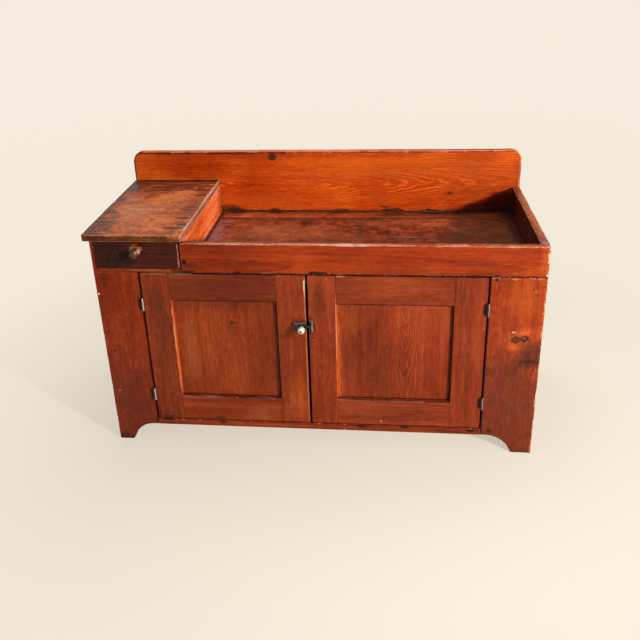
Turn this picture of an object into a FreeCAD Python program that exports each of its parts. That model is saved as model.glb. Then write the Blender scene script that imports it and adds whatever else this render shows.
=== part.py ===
import FreeCAD, Part
import os
import re
import Sketcher
from FreeCAD import Vector

# A dry sink: a low pine cupboard with two panelled doors, an open well above them, a till with one
# drawer at the left end of the well, and a splash board across the back. Millimetres, +X to the right,
# +Y to the back, +Z up. The formulas below measure x from the middle of the case, y from the plane of
# the face boards and doors, and z from the floor. The model's own origin is on the floor below the
# middle of its bounding box, at origin_x and origin_y in those terms.

SIZES = {
    # case
    "case_width": 1400,
    "case_depth": 555,
    "side_thickness": 25,
    "face_thickness": 22,
    "back_thickness": 22,
    "rim_height": 742,
    "apron_height": 99,
    "left_stile_width": 144.5,
    "right_stile_width": 166.5,
    "floor_clearance": 67,
    "bottom_thickness": 23,
    "face_joint": 0.6,
    "stop_clearance": 0.5,
    # feet
    "left_foot_width": 50,
    "right_foot_width": 65,
    "left_foot_radius": 77,
    "right_foot_radius": 87,
    "foot_run": 31,
    "side_foot_length": 85,
    "side_foot_radius": 60,
    # well
    "well_floor_thickness": 22,
    "rear_floor_width": 66,
    "floor_joint": 2,
    "cleat_size": 22,
    "cleat_setback": 30,
    # shelf inside the cupboard
    "shelf_height": 350,
    "shelf_depth": 300,
    "shelf_thickness": 20,
    # back
    "splash_top_height": 880,
    "splash_overhang": 31,
    "splash_radius": 40,
    "splash_gap": 5,
    "back_foot_height": 40,
    "back_joint": 2,
    # till
    "till_width": 294,
    "till_side_thickness": 25,
    "till_rise": 6,
    "till_top_thickness": 22,
    "till_top_overhang_front": 5,
    "till_top_overhang_left": 22,
    "till_top_overhang_left_rear": 33,
    "till_floor_thickness": 11,
    "till_strip_width": 12,
    "apron_lap": 8,
    # drawer
    "drawer_proud": 3,
    "drawer_gap_left": 1.5,
    "drawer_gap_right": 4,
    "drawer_gap_top": 1.5,
    "drawer_gap_bottom": 1,
    "drawer_length": 470,
    "drawer_side_thickness": 12,
    "drawer_side_height": 82,
    "drawer_side_play": 2,
    "drawer_ride": 0.3,
    "drawer_bottom_thickness": 8,
    "drawer_bottom_lift": 6,
    "drawer_groove_depth": 6,
    "drawer_knob_above_front_bottom": 59,
    "drawer_knob_radius": 13.5,
    "drawer_knob_collar_radius": 14.5,
    "drawer_knob_collar_thickness": 4.5,
    "drawer_knob_collar_round": 2,
    "drawer_knob_neck_radius": 8,
    "drawer_knob_neck_length": 13,
    "drawer_knob_head_length": 20,
    "drawer_knob_shoulder_round": 5,
    "drawer_knob_face_round": 9,
    "drawer_knob_tenon_radius": 5,
    # doors
    "door_thickness": 22,
    "door_gap_top": 3,
    "door_gap_bottom": 2,
    "hinge_gap": 5,
    "meeting_gap": 8,
    "meeting_offset": 25,
    "left_hinge_stile": 91,
    "left_latch_stile": 91,
    "left_top_rail": 95,
    "left_bottom_rail": 93,
    "right_hinge_stile": 98,
    "right_latch_stile": 88,
    "right_top_rail": 99,
    "right_bottom_rail": 98,
    "panel_recess": 12,
    "panel_thickness": 6.5,
    "panel_play": 0.2,
    "panel_edge_play": 1,
    "groove_depth": 9,
    "tenon_length": 45,
    "tenon_shoulder": 12,
    # hinges
    "hinge_height": 44,
    "hinge_inset_top": 108,
    "hinge_inset_bottom": 100,
    "leaf_depth": 19,
    "leaf_thickness": 2,
    "leaf_screw_spacing": 22,
    "leaf_screw_setback": 11.4,
    "barrel_radius": 4,
    "barrel_proud": 0.3,
    "pin_radius": 1.5,
    "pin_play": 0.05,
    "pin_head_radius": 2.6,
    "pin_head_height": 1.6,
    "knuckle_gap": 0.3,
    # latch
    "latch_height": 463,
    "latch_setback": 13,
    "latch_case_left": 25,
    "latch_case_right": 9,
    "latch_case_height": 28,
    "latch_case_depth": 10,
    "latch_wall": 2.5,
    "latch_cavity_height": 20,
    "latch_post": 8.5,
    "latch_boss_radius": 6,
    "latch_boss_length": 4,
    "bolt_height": 9,
    "bolt_tail_height": 19,
    "bolt_thickness": 4.2,
    "bolt_play": 0.4,
    "bolt_reach": 1.5,
    "bolt_travel": 7,
    "spindle_radius": 3,
    "spindle_play": 0.05,
    "crank_hub_radius": 4.2,
    "crank_radius": 7,
    "crank_width": 5,
    "crank_thickness": 2,
    "crank_pin_radius": 1.25,
    "porcelain_radius": 11.5,
    "porcelain_neck_radius": 6.5,
    "porcelain_neck_length": 7,
    "porcelain_length": 27,
    "porcelain_shoulder_round": 4,
    "porcelain_face_round": 7,
    "porcelain_screw_radius": 1.6,
    "porcelain_screw_head_radius": 2.6,
    "porcelain_screw_rise": 1,
    "porcelain_screw_length": 18,
    "knob_clearance": 0.3,
    "spindle_socket": 18,
    "latch_screw_length": 24,
    "latch_screw_spacing": 14,
    "keeper_screw_length": 14,
    "keeper_width": 12,
    "keeper_height": 40,
    "keeper_plate": 2,
    "keeper_inset": 0.5,
    "keeper_post": 3,
    "keeper_screw_inset": 4.5,
    # fasteners
    "nail_shank": 3,
    "nail_head": 5.5,
    "nail_head_height": 1.2,
    "nail_set": 0.3,
    "nail_length": 48,
    "nail_edge": 30,
    "apron_nail_edge": 20,
    "splash_nail_edge": 15,
    "wood_screw_radius": 1.4,
    "wood_screw_head_radius": 2.7,
    "wood_screw_head_height": 1.5,
    "hinge_screw_length": 14,
    # worn edges
    "arris_radius": 1,
    "rim_radius": 3,
    # how far a cut runs on past the surface that it opens
    "cut_past": 1,
}

TILL_NAILS_PER_ROW = 8
STILE_NAILS_PER_ROW = 5
END_NAILS_PER_ROW = 2

# Planes and centres that the pieces share, as formulas in the sizes above.
PLACES = {
    "origin_x": "-till_top_overhang_left_rear / 2",
    "origin_y": "(back_rear + porcelain_front - porcelain_screw_rise) / 2",
    "case_left": "-case_width / 2",
    "case_right": "case_width / 2",
    "left_inner": "case_left + side_thickness",
    "right_inner": "case_right - side_thickness",
    "inner_front": "face_thickness + stop_clearance",
    "back_rear": "case_depth + back_thickness",
    "apron_bottom": "rim_height - apron_height",
    "stile_top": "apron_bottom - face_joint",
    "bottom_top": "floor_clearance + bottom_thickness",
    "well_floor_top": "apron_bottom",
    "well_floor_underside": "well_floor_top - well_floor_thickness",
    "opening_left": "case_left + left_stile_width",
    "opening_right": "case_right - right_stile_width",
    "splash_bottom": "well_floor_top + splash_gap",
    "lower_back_top": "splash_bottom - back_joint",
    "lower_back_middle": "(back_foot_height + lower_back_top) / 2",
    "till_right": "case_left + till_width",
    "till_side_left": "till_right - till_side_thickness",
    "till_lid_underside": "rim_height + till_rise",
    "till_lid_top": "till_lid_underside + till_top_thickness",
    "till_floor_top": "well_floor_top + till_floor_thickness",
    "till_strip_right": "case_left + till_strip_width",
    "apron_left": "till_right - apron_lap",
    "drawer_front_left": "till_strip_right + drawer_gap_left",
    "drawer_front_right": "apron_left - drawer_gap_right",
    "drawer_front_bottom": "till_floor_top + drawer_gap_bottom",
    "drawer_front_top": "till_lid_underside - drawer_gap_top",
    "drawer_front_back": "face_thickness - stop_clearance",
    "drawer_left": "left_inner + drawer_side_play",
    "drawer_right": "till_side_left - drawer_side_play",
    "drawer_rear": "drawer_front_back + drawer_length",
    "drawer_side_bottom": "till_floor_top + drawer_ride",
    "drawer_side_top": "drawer_side_bottom + drawer_side_height",
    "drawer_bottom_underside": "drawer_side_bottom + drawer_bottom_lift",
    "drawer_bottom_top": "drawer_bottom_underside + drawer_bottom_thickness",
    "drawer_knob_x": "(drawer_front_left + drawer_front_right) / 2",
    "drawer_knob_z": "drawer_front_bottom + drawer_knob_above_front_bottom",
    "door_bottom": "bottom_top + door_gap_bottom",
    "door_top": "apron_bottom - door_gap_top",
    "left_door_left": "opening_left + hinge_gap",
    "left_door_right": "-meeting_offset - meeting_gap / 2",
    "right_door_left": "-meeting_offset + meeting_gap / 2",
    "right_door_right": "opening_right - hinge_gap",
    "panel_back": "panel_recess + panel_thickness",
    "groove_back": "panel_back + panel_play",
    "upper_hinge_z": "door_top - hinge_inset_top",
    "lower_hinge_z": "door_bottom + hinge_inset_bottom",
    "pin_y": "-barrel_radius - barrel_proud",
    "latch_x": "left_door_right - latch_setback",
    "latch_left": "latch_x - latch_case_left",
    "latch_right": "latch_x + latch_case_right",
    "cavity_left": "latch_left + latch_post",
    "cavity_right": "latch_right - latch_wall",
    "cavity_front": "-latch_case_depth + latch_wall",
    "bolt_front": "cavity_front + bolt_play",
    "bolt_back": "bolt_front + bolt_thickness",
    "bolt_tip": "right_door_left - bolt_reach",
    "bolt_tail_left": "cavity_left + bolt_play",
    "bolt_tail_right": "cavity_right - bolt_travel - bolt_play",
    "crank_sine": "bolt_travel / 2 / crank_radius",
    "crank_cosine": "sqrt(1 - crank_sine ^ 2)",
    "crank_pin_x": "latch_x - crank_radius * crank_sine",
    "crank_pin_z": "latch_height - crank_radius * crank_cosine",
    "crank_front": "bolt_back + bolt_play / 2",
    "boss_front": "-latch_case_depth - latch_boss_length",
    "porcelain_back": "boss_front - knob_clearance",
    "porcelain_front": "porcelain_back - porcelain_length",
    "keeper_left": "right_door_left + keeper_inset",
    "keeper_right": "keeper_left + keeper_width",
    "keeper_slot_half": "bolt_height / 2 + bolt_play",
}

doc = FreeCAD.newDocument("DrySink")
sheet = doc.addObject("Spreadsheet::Sheet", "Size")
for row, (alias, value) in enumerate(SIZES.items(), start=1):
    sheet.set(f"A{row}", alias)
    sheet.set(f"B{row}", str(value))
    sheet.setAlias(f"B{row}", alias)
doc.recompute()

subparts = {}


def formula(text):
    """The text with each place written out and each size named as a cell of the sheet."""
    def written_out(match):
        name = match.group(0)
        if name in PLACES:
            return f"({formula(PLACES[name])})"
        return f"Size.{name}" if name in SIZES else name
    return re.sub(r"[a-z][a-z_]+", written_out, str(text))


def number(text):
    return float(sheet.evalExpression(formula(text)))


def bind(item, **properties):
    """Bind properties of an object to formulas; a double underscore stands for a dot."""
    for name, text in properties.items():
        item.setExpression(name.replace("__", "."), formula(text))


def stand(item, x, y, z):
    """Place an object by its own corner or centre, given in the terms of the formulas above."""
    bind(item, Placement__Base__x=f"{x} - origin_x", Placement__Base__y=f"{y} - origin_y",
         Placement__Base__z=z)
    return item


def finish(label, item):
    """Name an object as a sub-part of the cabinet."""
    item.Label = label
    subparts[label] = item
    return item


def block(name, x, y, z):
    """A plain box between a pair of planes along each axis."""
    box = doc.addObject("Part::Box", name)
    bind(box, Length=f"({x[1]}) - ({x[0]})", Width=f"({y[1]}) - ({y[0]})", Height=f"({z[1]}) - ({z[0]})")
    return stand(box, x[0], y[0], z[0])


def rod(name, direction, start, end, radius, centre):
    """A cylinder along Y or Z from start to end, about a centre in the other two axes."""
    cylinder = doc.addObject("Part::Cylinder", name)
    bind(cylinder, Radius=radius, Height=f"({end}) - ({start})")
    if direction == "z":
        return stand(cylinder, centre[0], centre[1], start)
    cylinder.Placement.Rotation = FreeCAD.Rotation(Vector(1, 0, 0), -90)
    return stand(cylinder, centre[0], start, centre[1])


def joined(name, pieces):
    """One solid, or one group of separate solids, from several objects."""
    fuse = doc.addObject("Part::MultiFuse", name)
    fuse.Shapes = pieces
    fuse.Refine = True
    return fuse


def carved(name, blank, cutters):
    """The blank with every cutter taken out of it."""
    cut = doc.addObject("Part::Cut", name)
    cut.Base = blank
    cut.Tool = cutters[0] if len(cutters) == 1 else joined(f"{name}_cutters", cutters)
    return cut


def origin_plane(body, role):
    return next(feature for feature in body.Origin.OriginFeatures if feature.Role == role)


def outline(body, name, role, corners):
    """A closed polygon on one of the body's own planes, each corner held by two bound distances."""
    sketch = body.newObject("Sketcher::SketchObject", name)
    sketch.AttachmentSupport = [(origin_plane(body, role), "")]
    sketch.MapMode = "FlatFace"
    points = [Vector(number(across), number(up), 0) for across, up in corners]
    for start, end in zip(points, points[1:] + points[:1]):
        sketch.addGeometry(Part.LineSegment(start, end), False)
    for side in range(len(points)):
        following = (side + 1) % len(points)
        sketch.addConstraint(Sketcher.Constraint("Coincident", side, 2, following, 1))
    for side, (across, up) in enumerate(corners):
        for kind, text in (("DistanceX", across), ("DistanceY", up)):
            held = sketch.addConstraint(Sketcher.Constraint(kind, -1, 1, side, 1, number(text)))
            sketch.setExpression(f"Constraints[{held}]", formula(text))
    return sketch


def shaped(name, role, corners, depth, origin):
    """A board cut to an outline on XZ, YZ or XY and as thick as depth, with its corner at origin."""
    body = doc.addObject("PartDesign::Body", name)
    first, second = {"XZ_Plane": (0, 2), "YZ_Plane": (1, 2), "XY_Plane": (0, 1)}[role]
    local = [(f"({a}) - ({origin[first]})", f"({b}) - ({origin[second]})") for a, b in corners]
    pad = body.newObject("PartDesign::Pad", f"{name}_pad")
    pad.Profile = outline(body, f"{name}_outline", role, local)
    pad.Reversed = role == "XZ_Plane"
    bind(pad, Length=depth)
    stand(body, *origin)
    doc.recompute()
    return body


def rounded(body, radius, along=None, near=()):
    """Round every edge of a body, or only those along one axis that pass near the given points."""
    base = body.Tip
    fillet = body.newObject("PartDesign::Fillet", f"{body.Name}_round_{radius}")
    names = []
    if along is None:
        fillet.UseAllEdges = True
        names = ["Edge1"]
    for index, edge in enumerate(base.Shape.Edges, start=1):
        if along is None or len(edge.Vertexes) < 2:
            continue
        direction = edge.Vertexes[1].Point - edge.Vertexes[0].Point
        level = direction.Length > 0 and abs(direction.normalize().dot(along)) > 0.999
        middle = edge.CenterOfMass
        if level and any((middle - point).cross(along).Length < 0.01 for point in near):
            names.append(f"Edge{index}")
    fillet.Base = (base, names)
    bind(fillet, Radius=radius)
    doc.recompute()
    return body


def board(name, x, y, z, arris=True):
    """A sawn board between pairs of planes, with its sharp edges worn off."""
    body = shaped(name, "XZ_Plane", [(x[0], z[0]), (x[1], z[0]), (x[1], z[1]), (x[0], z[1])],
                  f"({y[1]}) - ({y[0]})", (x[0], y[0], z[0]))
    return rounded(body, "arris_radius") if arris else body


def turned(name, corners, axis_x, start_y, axis_z, rounds):
    """A turned piece about an axis along Y, from (distance forward, radius) corners spun round.

    Each of the rounds is a fillet's radius and the corner where it runs.
    """
    body = doc.addObject("PartDesign::Body", name)
    spin = body.newObject("PartDesign::Revolution", f"{name}_turning")
    spin.Profile = outline(body, f"{name}_outline", "XZ_Plane", [(radius, away) for away, radius in corners])
    spin.ReferenceAxis = (spin.Profile[0], ["V_Axis"])
    spin.Angle = 360
    body.Placement.Rotation = FreeCAD.Rotation(Vector(1, 0, 0), 90)
    stand(body, axis_x, start_y, axis_z)
    doc.recompute()
    for fillet_radius, (away, radius) in rounds:
        base = body.Tip
        fillet = body.newObject("PartDesign::Fillet", f"{name}_{fillet_radius}")
        names = [
            f"Edge{index}" for index, edge in enumerate(base.Shape.Edges, start=1)
            if isinstance(edge.Curve, Part.Circle)
            and abs(edge.Curve.Center.z - number(away)) < 0.01
            and abs(edge.Curve.Radius - number(radius)) < 0.01]
        fillet.Base = (base, names)
        bind(fillet, Radius=fillet_radius)
        doc.recompute()
    return body


def span(start, sign, near, far):
    """The planes at two distances from start, to its right (1) or left (-1), lower one first."""
    if sign > 0:
        return (f"{start} + ({near})", f"{start} + ({far})")
    return (f"{start} - ({far})", f"{start} - ({near})")


DRIVEN = {
    # direction: (axis it runs along, its sense)
    "down": (2, -1),
    "back": (1, 1),
    "front": (1, -1),
}


def nail_part(name, place, half_size, near, far):
    """A square length of a nail, between two depths below the surface point it is driven into."""
    direction, *centre = place
    axis, sense = DRIVEN[direction]
    planes = [(f"{middle} - {half_size}", f"{middle} + {half_size}") for middle in centre]
    planes[axis] = span(centre[axis], sense, near, far)
    return block(name, *planes)


def nail_group(label, places):
    """Nails at (direction, x, y, z) places, and what must be cut from the boards to hold them."""
    head_end = "nail_set + nail_head_height"
    nails = []
    recesses = []
    for index, place in enumerate(places):
        head = nail_part(f"{label}_head_{index}", place, "nail_head / 2", "nail_set", head_end)
        shank = nail_part(f"{label}_shank_{index}", place, "nail_shank / 2", head_end, "nail_length")
        nails.append(joined(f"{label}_{index}", [head, shank]))
        recesses.append(nail_part(f"{label}_recess_{index}", place, "nail_head / 2", "-cut_past",
                                  "nail_set"))
    group = finish(label, joined(label, nails))
    return joined(f"{label}_holes", [group] + recesses)


def along_row(low, high, count):
    """Formulas for evenly spaced places between two planes, ends included."""
    return [f"{low} + (({high}) - ({low})) * {step} / {count - 1}" for step in range(count)]


def screw(name, axis, start, sign, across, z, length):
    """A flat-headed wood screw along X (into an edge) or Y (into a face), flush at start."""
    cone = doc.addObject("Part::Cone", f"{name}_head")
    bind(cone, Radius1="wood_screw_head_radius", Radius2="wood_screw_radius", Height="wood_screw_head_height")
    shank = doc.addObject("Part::Cylinder", f"{name}_shank")
    bind(shank, Radius="wood_screw_radius", Height=f"{length} - wood_screw_head_height")
    turns = {"x": FreeCAD.Rotation(Vector(0, 1, 0), 90 * sign), "y": FreeCAD.Rotation(Vector(1, 0, 0), -90)}
    shank_start = f"{start} + ({sign}) * wood_screw_head_height"
    for piece, first in ((cone, start), (shank, shank_start)):
        piece.Placement.Rotation = turns[axis]
        x, y = (first, across) if axis == "x" else (across, first)
        stand(piece, x, y, z)
    return joined(name, [cone, shank])


# ---- nails ----
side_middle = {"left": "case_left + side_thickness / 2", "right": "case_right - side_thickness / 2"}
till_nail_rows = along_row("nail_edge", "case_depth - nail_edge", TILL_NAILS_PER_ROW)
till_nail_holes = nail_group(
    "till_top_nails",
    [("down", x, y, "till_lid_top")
     for x in (side_middle["left"], "till_right - till_side_thickness / 2") for y in till_nail_rows])
apron_nail_heights = along_row("apron_bottom + apron_nail_edge", "rim_height - apron_nail_edge",
                               END_NAILS_PER_ROW)
stile_nail_heights = along_row("floor_clearance + nail_edge", "stile_top - nail_edge", STILE_NAILS_PER_ROW)
face_nail_holes = nail_group(
    "face_nails",
    [("back", x, "0", z)
     for x in ("apron_left + apron_lap / 2", side_middle["right"]) for z in apron_nail_heights]
    + [("back", side_middle[hand], "0", z) for hand in ("left", "right") for z in stile_nail_heights])
splash_nail_heights = along_row("splash_bottom + splash_nail_edge", "rim_height - splash_nail_edge",
                                END_NAILS_PER_ROW)
lower_back_nail_heights = [
    "back_foot_height + nail_edge", "lower_back_middle - nail_edge",
    "lower_back_middle + nail_edge", "lower_back_top - nail_edge"]
back_nail_holes = nail_group(
    "back_nails",
    [("front", side_middle[hand], "back_rear", z)
     for hand in ("left", "right") for z in splash_nail_heights + lower_back_nail_heights])

# ---- hinges ----
HINGES = {
    # hand: (pin centre, direction from the pin to the door)
    "left": ("(opening_left + hinge_gap / 2)", 1),
    "right": ("(opening_right - hinge_gap / 2)", -1),
}
hinge_heights = {"upper": "upper_hinge_z", "lower": "lower_hinge_z"}
leaf_outer = "hinge_gap / 2"
leaf_inner = "hinge_gap / 2 - leaf_thickness"
knuckle_half = "(hinge_height / 3 - knuckle_gap) / 2"
knuckle_bands = {
    "fixed": [("-hinge_height / 2", f"-{knuckle_half} - knuckle_gap"),
              (f"{knuckle_half} + knuckle_gap", "hinge_height / 2")],
    "moving": [(f"-{knuckle_half}", knuckle_half)],
}


def wrapped_leaf(name, pin_x, sign, z_middle, bands):
    """A leaf flat against its board's edge, with a knuckle round the pin in each band of height."""
    across = span(pin_x, sign, leaf_inner, leaf_outer)
    pieces = [block(f"{name}_plate", across, ("barrel_proud * 2", "leaf_depth"),
                    (f"{z_middle} - hinge_height / 2", f"{z_middle} + hinge_height / 2"))]
    for index, band in enumerate(bands):
        low, high = (f"{z_middle} + ({edge})" for edge in band)
        pieces.append(rod(f"{name}_knuckle_{index}", "z", low, high, "barrel_radius", (pin_x, "pin_y")))
        pieces.append(block(f"{name}_neck_{index}", across, ("pin_y", "leaf_depth / 2"), (low, high)))
    bore = rod(f"{name}_bore", "z", f"{z_middle} - hinge_height", f"{z_middle} + hinge_height",
               "pin_radius + pin_play", (pin_x, "pin_y"))
    return carved(f"{name}_wrapped", joined(f"{name}_solid", pieces), [bore])


def hinge_pin(name, pin_x, z_middle):
    """A pin as long as the hinge, with a flat head on its top knuckle."""
    top = f"{z_middle} + hinge_height / 2"
    shaft = rod(f"{name}_shaft", "z", f"{z_middle} - hinge_height / 2", top, "pin_radius", (pin_x, "pin_y"))
    head = rod(f"{name}_head", "z", top, f"{top} + pin_head_height", "pin_head_radius", (pin_x, "pin_y"))
    return joined(name, [shaft, head])


pins = []
case_screws = []
door_screws = {hand: [] for hand in HINGES}
for hand, (pin_x, door_sign) in HINGES.items():
    for level, z_middle in hinge_heights.items():
        hinge = f"{hand}_{level}_hinge"
        pins.append(hinge_pin(f"{hinge}_pin", pin_x, z_middle))
        for role, sign in (("fixed", -door_sign), ("moving", door_sign)):
            screws = [
                screw(f"{hinge}_{role}_screw_{end}", "x", f"{pin_x} + ({sign}) * ({leaf_inner})", sign,
                      "leaf_screw_setback", f"{z_middle} + ({step}) * leaf_screw_spacing / 2",
                      "hinge_screw_length")
                for end, step in (("low", -1), ("high", 1))]
            leaf = wrapped_leaf(f"{hinge}_{role}", pin_x, sign, z_middle, knuckle_bands[role])
            finish(f"{hinge}_{role}_leaf", carved(f"{hinge}_{role}_leaf", leaf, screws))
            if role == "fixed":
                case_screws += screws
            else:
                door_screws[hand] += screws
finish("hinge_pins", joined("hinge_pins", pins))
case_screw_group = finish("case_hinge_screws", joined("case_hinge_screws", case_screws))
door_screw_groups = {
    hand: finish(f"{hand}_door_hinge_screws", joined(f"{hand}_door_hinge_screws", screws))
    for hand, screws in door_screws.items()}

# ---- face boards ----
foot_corner_left = "case_left + left_foot_width + foot_run"
left_stile = shaped(
    "left_stile_blank", "XZ_Plane",
    [("case_left", "0"), ("case_left + left_foot_width", "0"), (foot_corner_left, "floor_clearance"),
     ("opening_left", "floor_clearance"), ("opening_left", "stile_top"), ("till_strip_right", "stile_top"),
     ("till_strip_right", "till_lid_underside - face_joint"),
     ("case_left", "till_lid_underside - face_joint")],
    "face_thickness", ("case_left", "0", "0"))
rounded(left_stile, "left_foot_radius", Vector(0, 1, 0),
        [Vector(number(f"{foot_corner_left} - case_left"), 0, number("floor_clearance"))])
rounded(left_stile, "arris_radius")
finish("left_face_stile", carved("left_face_stile", left_stile, [face_nail_holes, case_screw_group]))

foot_corner_right = "case_right - right_foot_width - foot_run"
right_stile = shaped(
    "right_stile_blank", "XZ_Plane",
    [("opening_right", "floor_clearance"), (foot_corner_right, "floor_clearance"),
     ("case_right - right_foot_width", "0"), ("case_right", "0"), ("case_right", "stile_top"),
     ("opening_right", "stile_top")],
    "face_thickness", ("opening_right", "0", "0"))
rounded(right_stile, "right_foot_radius", Vector(0, 1, 0),
        [Vector(number(f"{foot_corner_right} - opening_right"), 0, number("floor_clearance"))])
rounded(right_stile, "arris_radius")
finish("right_face_stile", carved("right_face_stile", right_stile, [face_nail_holes, case_screw_group]))

apron = board("front_apron_blank", ("apron_left", "case_right"), ("0", "face_thickness"),
              ("apron_bottom", "rim_height"), arris=False)
rounded(apron, "rim_radius", Vector(1, 0, 0), [Vector(0, 0, number("apron_height"))])
rounded(apron, "arris_radius")
finish("front_apron", carved("front_apron", apron, [face_nail_holes]))


# ---- side boards ----
def side_board(label, x, top):
    """A side: full height, with an arch cut between a front and a rear foot."""
    foot_y = {"front": "face_thickness + side_foot_length", "rear": "case_depth - side_foot_length"}
    corners = [("face_thickness", "0"), (foot_y["front"], "0"),
               (f"{foot_y['front']} + foot_run", "floor_clearance"),
               (f"{foot_y['rear']} - foot_run", "floor_clearance"),
               (foot_y["rear"], "0"), ("case_depth", "0"), ("case_depth", top), ("face_thickness", top)]
    body = shaped(f"{label}_blank", "YZ_Plane", corners, "side_thickness", (x, "face_thickness", "0"))
    inner = [number(f"{foot_y['front']} + foot_run - face_thickness"),
             number(f"{foot_y['rear']} - foot_run - face_thickness")]
    rounded(body, "side_foot_radius", Vector(1, 0, 0),
            [Vector(0, place, number("floor_clearance")) for place in inner])
    rounded(body, "arris_radius")
    return body


left_side = side_board("left_side_board", "case_left", "till_lid_underside")
finish("left_side_board", carved("left_side_board", left_side,
                                 [till_nail_holes, face_nail_holes, back_nail_holes]))
right_side = side_board("right_side_board", "right_inner", "rim_height")
finish("right_side_board", carved("right_side_board", right_side, [face_nail_holes, back_nail_holes]))

# ---- well ----
rear_floor_front = "case_depth - rear_floor_width"
floor_spans = {"front": ("inner_front", f"{rear_floor_front} - floor_joint"),
               "rear": (rear_floor_front, "case_depth")}
for end, floor_span in floor_spans.items():
    floor_board = block(f"well_floor_{end}_board", ("left_inner", "right_inner"), floor_span,
                        ("well_floor_underside", "well_floor_top"))
    finish(f"well_floor_{end}_board", floor_board)
till_side = board("till_side_blank", ("till_side_left", "till_right"), ("face_thickness", "case_depth"),
                  ("well_floor_top", "till_lid_underside"), arris=False)
finish("till_side_board", carved("till_side_board", till_side, [till_nail_holes, face_nail_holes]))


def cleat_pair(label, top, start):
    """Two battens, one on the inside of each side board, under a shelf or floor."""
    height = (f"{top} - cleat_size", top)
    run = (start, "case_depth")
    left = block(f"{label}_left", ("left_inner", "left_inner + cleat_size"), run, height)
    right = block(f"{label}_right", ("right_inner - cleat_size", "right_inner"), run, height)
    return finish(label, joined(label, [left, right]))


cleat_start = "inner_front + cleat_setback"
cleat_pair("well_floor_side_cleats", "well_floor_underside", cleat_start)
finish("well_floor_front_cleat", block(
    "well_floor_front_cleat", ("left_inner", "right_inner"), ("inner_front", "inner_front + cleat_size"),
    ("well_floor_underside - cleat_size", "well_floor_underside")))

# ---- bottom and shelf ----
bottom_corners = [
    ("left_inner", "inner_front"), ("opening_left", "inner_front"), ("opening_left", "0"),
    ("opening_right", "0"), ("opening_right", "inner_front"), ("right_inner", "inner_front"),
    ("right_inner", "case_depth"), ("left_inner", "case_depth")]
finish("bottom_board", shaped("bottom_board", "XY_Plane", bottom_corners, "bottom_thickness",
                              ("left_inner", "0", "floor_clearance")))
cleat_pair("bottom_cleats", "floor_clearance", cleat_start)
shelf_front = "case_depth - shelf_depth"
finish("inner_shelf", block("inner_shelf", ("left_inner", "right_inner"), (shelf_front, "case_depth"),
                            ("shelf_height", "shelf_height + shelf_thickness")))
cleat_pair("shelf_cleats", "shelf_height", shelf_front)

# ---- back ----
splash = board("splash_blank", ("case_left - splash_overhang", "case_right"), ("case_depth", "back_rear"),
               ("splash_bottom", "splash_top_height"), arris=False)
splash_width = number("case_width + splash_overhang")
splash_height = number("splash_top_height - splash_bottom")
rounded(splash, "splash_radius", Vector(0, 1, 0),
        [Vector(0, 0, splash_height), Vector(splash_width, 0, splash_height)])
rounded(splash, "arris_radius")
finish("splash_board", carved("splash_board", splash, [back_nail_holes]))
upper_back = board("upper_back_blank", ("case_left", "case_right"), ("case_depth", "back_rear"),
                   ("lower_back_middle + back_joint / 2", "lower_back_top"))
finish("upper_back_board", carved("upper_back_board", upper_back, [back_nail_holes]))
lower_back = board("lower_back_blank", ("case_left", "case_right"), ("case_depth", "back_rear"),
                   ("back_foot_height", "lower_back_middle - back_joint / 2"))
finish("lower_back_board", carved("lower_back_board", lower_back, [back_nail_holes]))

# ---- till ----
till_lid_front = "-till_top_overhang_front"
till_lid_corners = [
    ("case_left - till_top_overhang_left", till_lid_front), ("till_right", till_lid_front),
    ("till_right", "case_depth"), ("case_left - till_top_overhang_left_rear", "case_depth")]
till_lid = shaped("till_top_blank", "XY_Plane", till_lid_corners, "till_top_thickness",
                  ("case_left - till_top_overhang_left_rear", till_lid_front, "till_lid_underside"))
rounded(till_lid, "rim_radius", Vector(1, 0, 0),
        [Vector(0, 0, 0), Vector(0, 0, number("till_top_thickness"))])
rounded(till_lid, "arris_radius")
finish("till_top", carved("till_top", till_lid, [till_nail_holes]))
till_floor_corners = [
    ("till_strip_right + face_joint", "0"), ("apron_left - face_joint", "0"),
    ("apron_left - face_joint", "face_thickness"),
    ("till_side_left", "face_thickness"), ("till_side_left", "case_depth"), ("left_inner", "case_depth"),
    ("left_inner", "face_thickness"), ("till_strip_right + face_joint", "face_thickness")]
finish("till_floor", shaped("till_floor", "XY_Plane", till_floor_corners, "till_floor_thickness",
                            ("left_inner", "0", "well_floor_top")))

# ---- drawer ----
knob_tenon = rod("drawer_knob_hole", "y", "-drawer_proud", "drawer_front_back", "drawer_knob_tenon_radius",
                 ("drawer_knob_x", "drawer_knob_z"))
drawer_face = board("drawer_front_blank", ("drawer_front_left", "drawer_front_right"),
                    ("-drawer_proud", "drawer_front_back"), ("drawer_front_bottom", "drawer_front_top"))
drawer_bottom = block(
    "drawer_bottom",
    ("drawer_left + drawer_side_thickness - drawer_groove_depth",
     "drawer_right - drawer_side_thickness + drawer_groove_depth"),
    ("drawer_front_back - drawer_groove_depth", "drawer_rear"),
    ("drawer_bottom_underside", "drawer_bottom_top"))
finish("drawer_bottom", drawer_bottom)
finish("drawer_front", carved("drawer_front", drawer_face, [knob_tenon, drawer_bottom]))
for hand, x in (("left", ("drawer_left", "drawer_left + drawer_side_thickness")),
                ("right", ("drawer_right - drawer_side_thickness", "drawer_right"))):
    side = block(f"drawer_{hand}_blank", x, ("drawer_front_back", "drawer_rear"),
                 ("drawer_side_bottom", "drawer_side_top"))
    finish(f"drawer_{hand}_side", carved(f"drawer_{hand}_side", side, [drawer_bottom]))
finish("drawer_back", block(
    "drawer_back", ("drawer_left + drawer_side_thickness", "drawer_right - drawer_side_thickness"),
    ("drawer_rear - drawer_side_thickness", "drawer_rear"), ("drawer_bottom_top", "drawer_side_top")))
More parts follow.
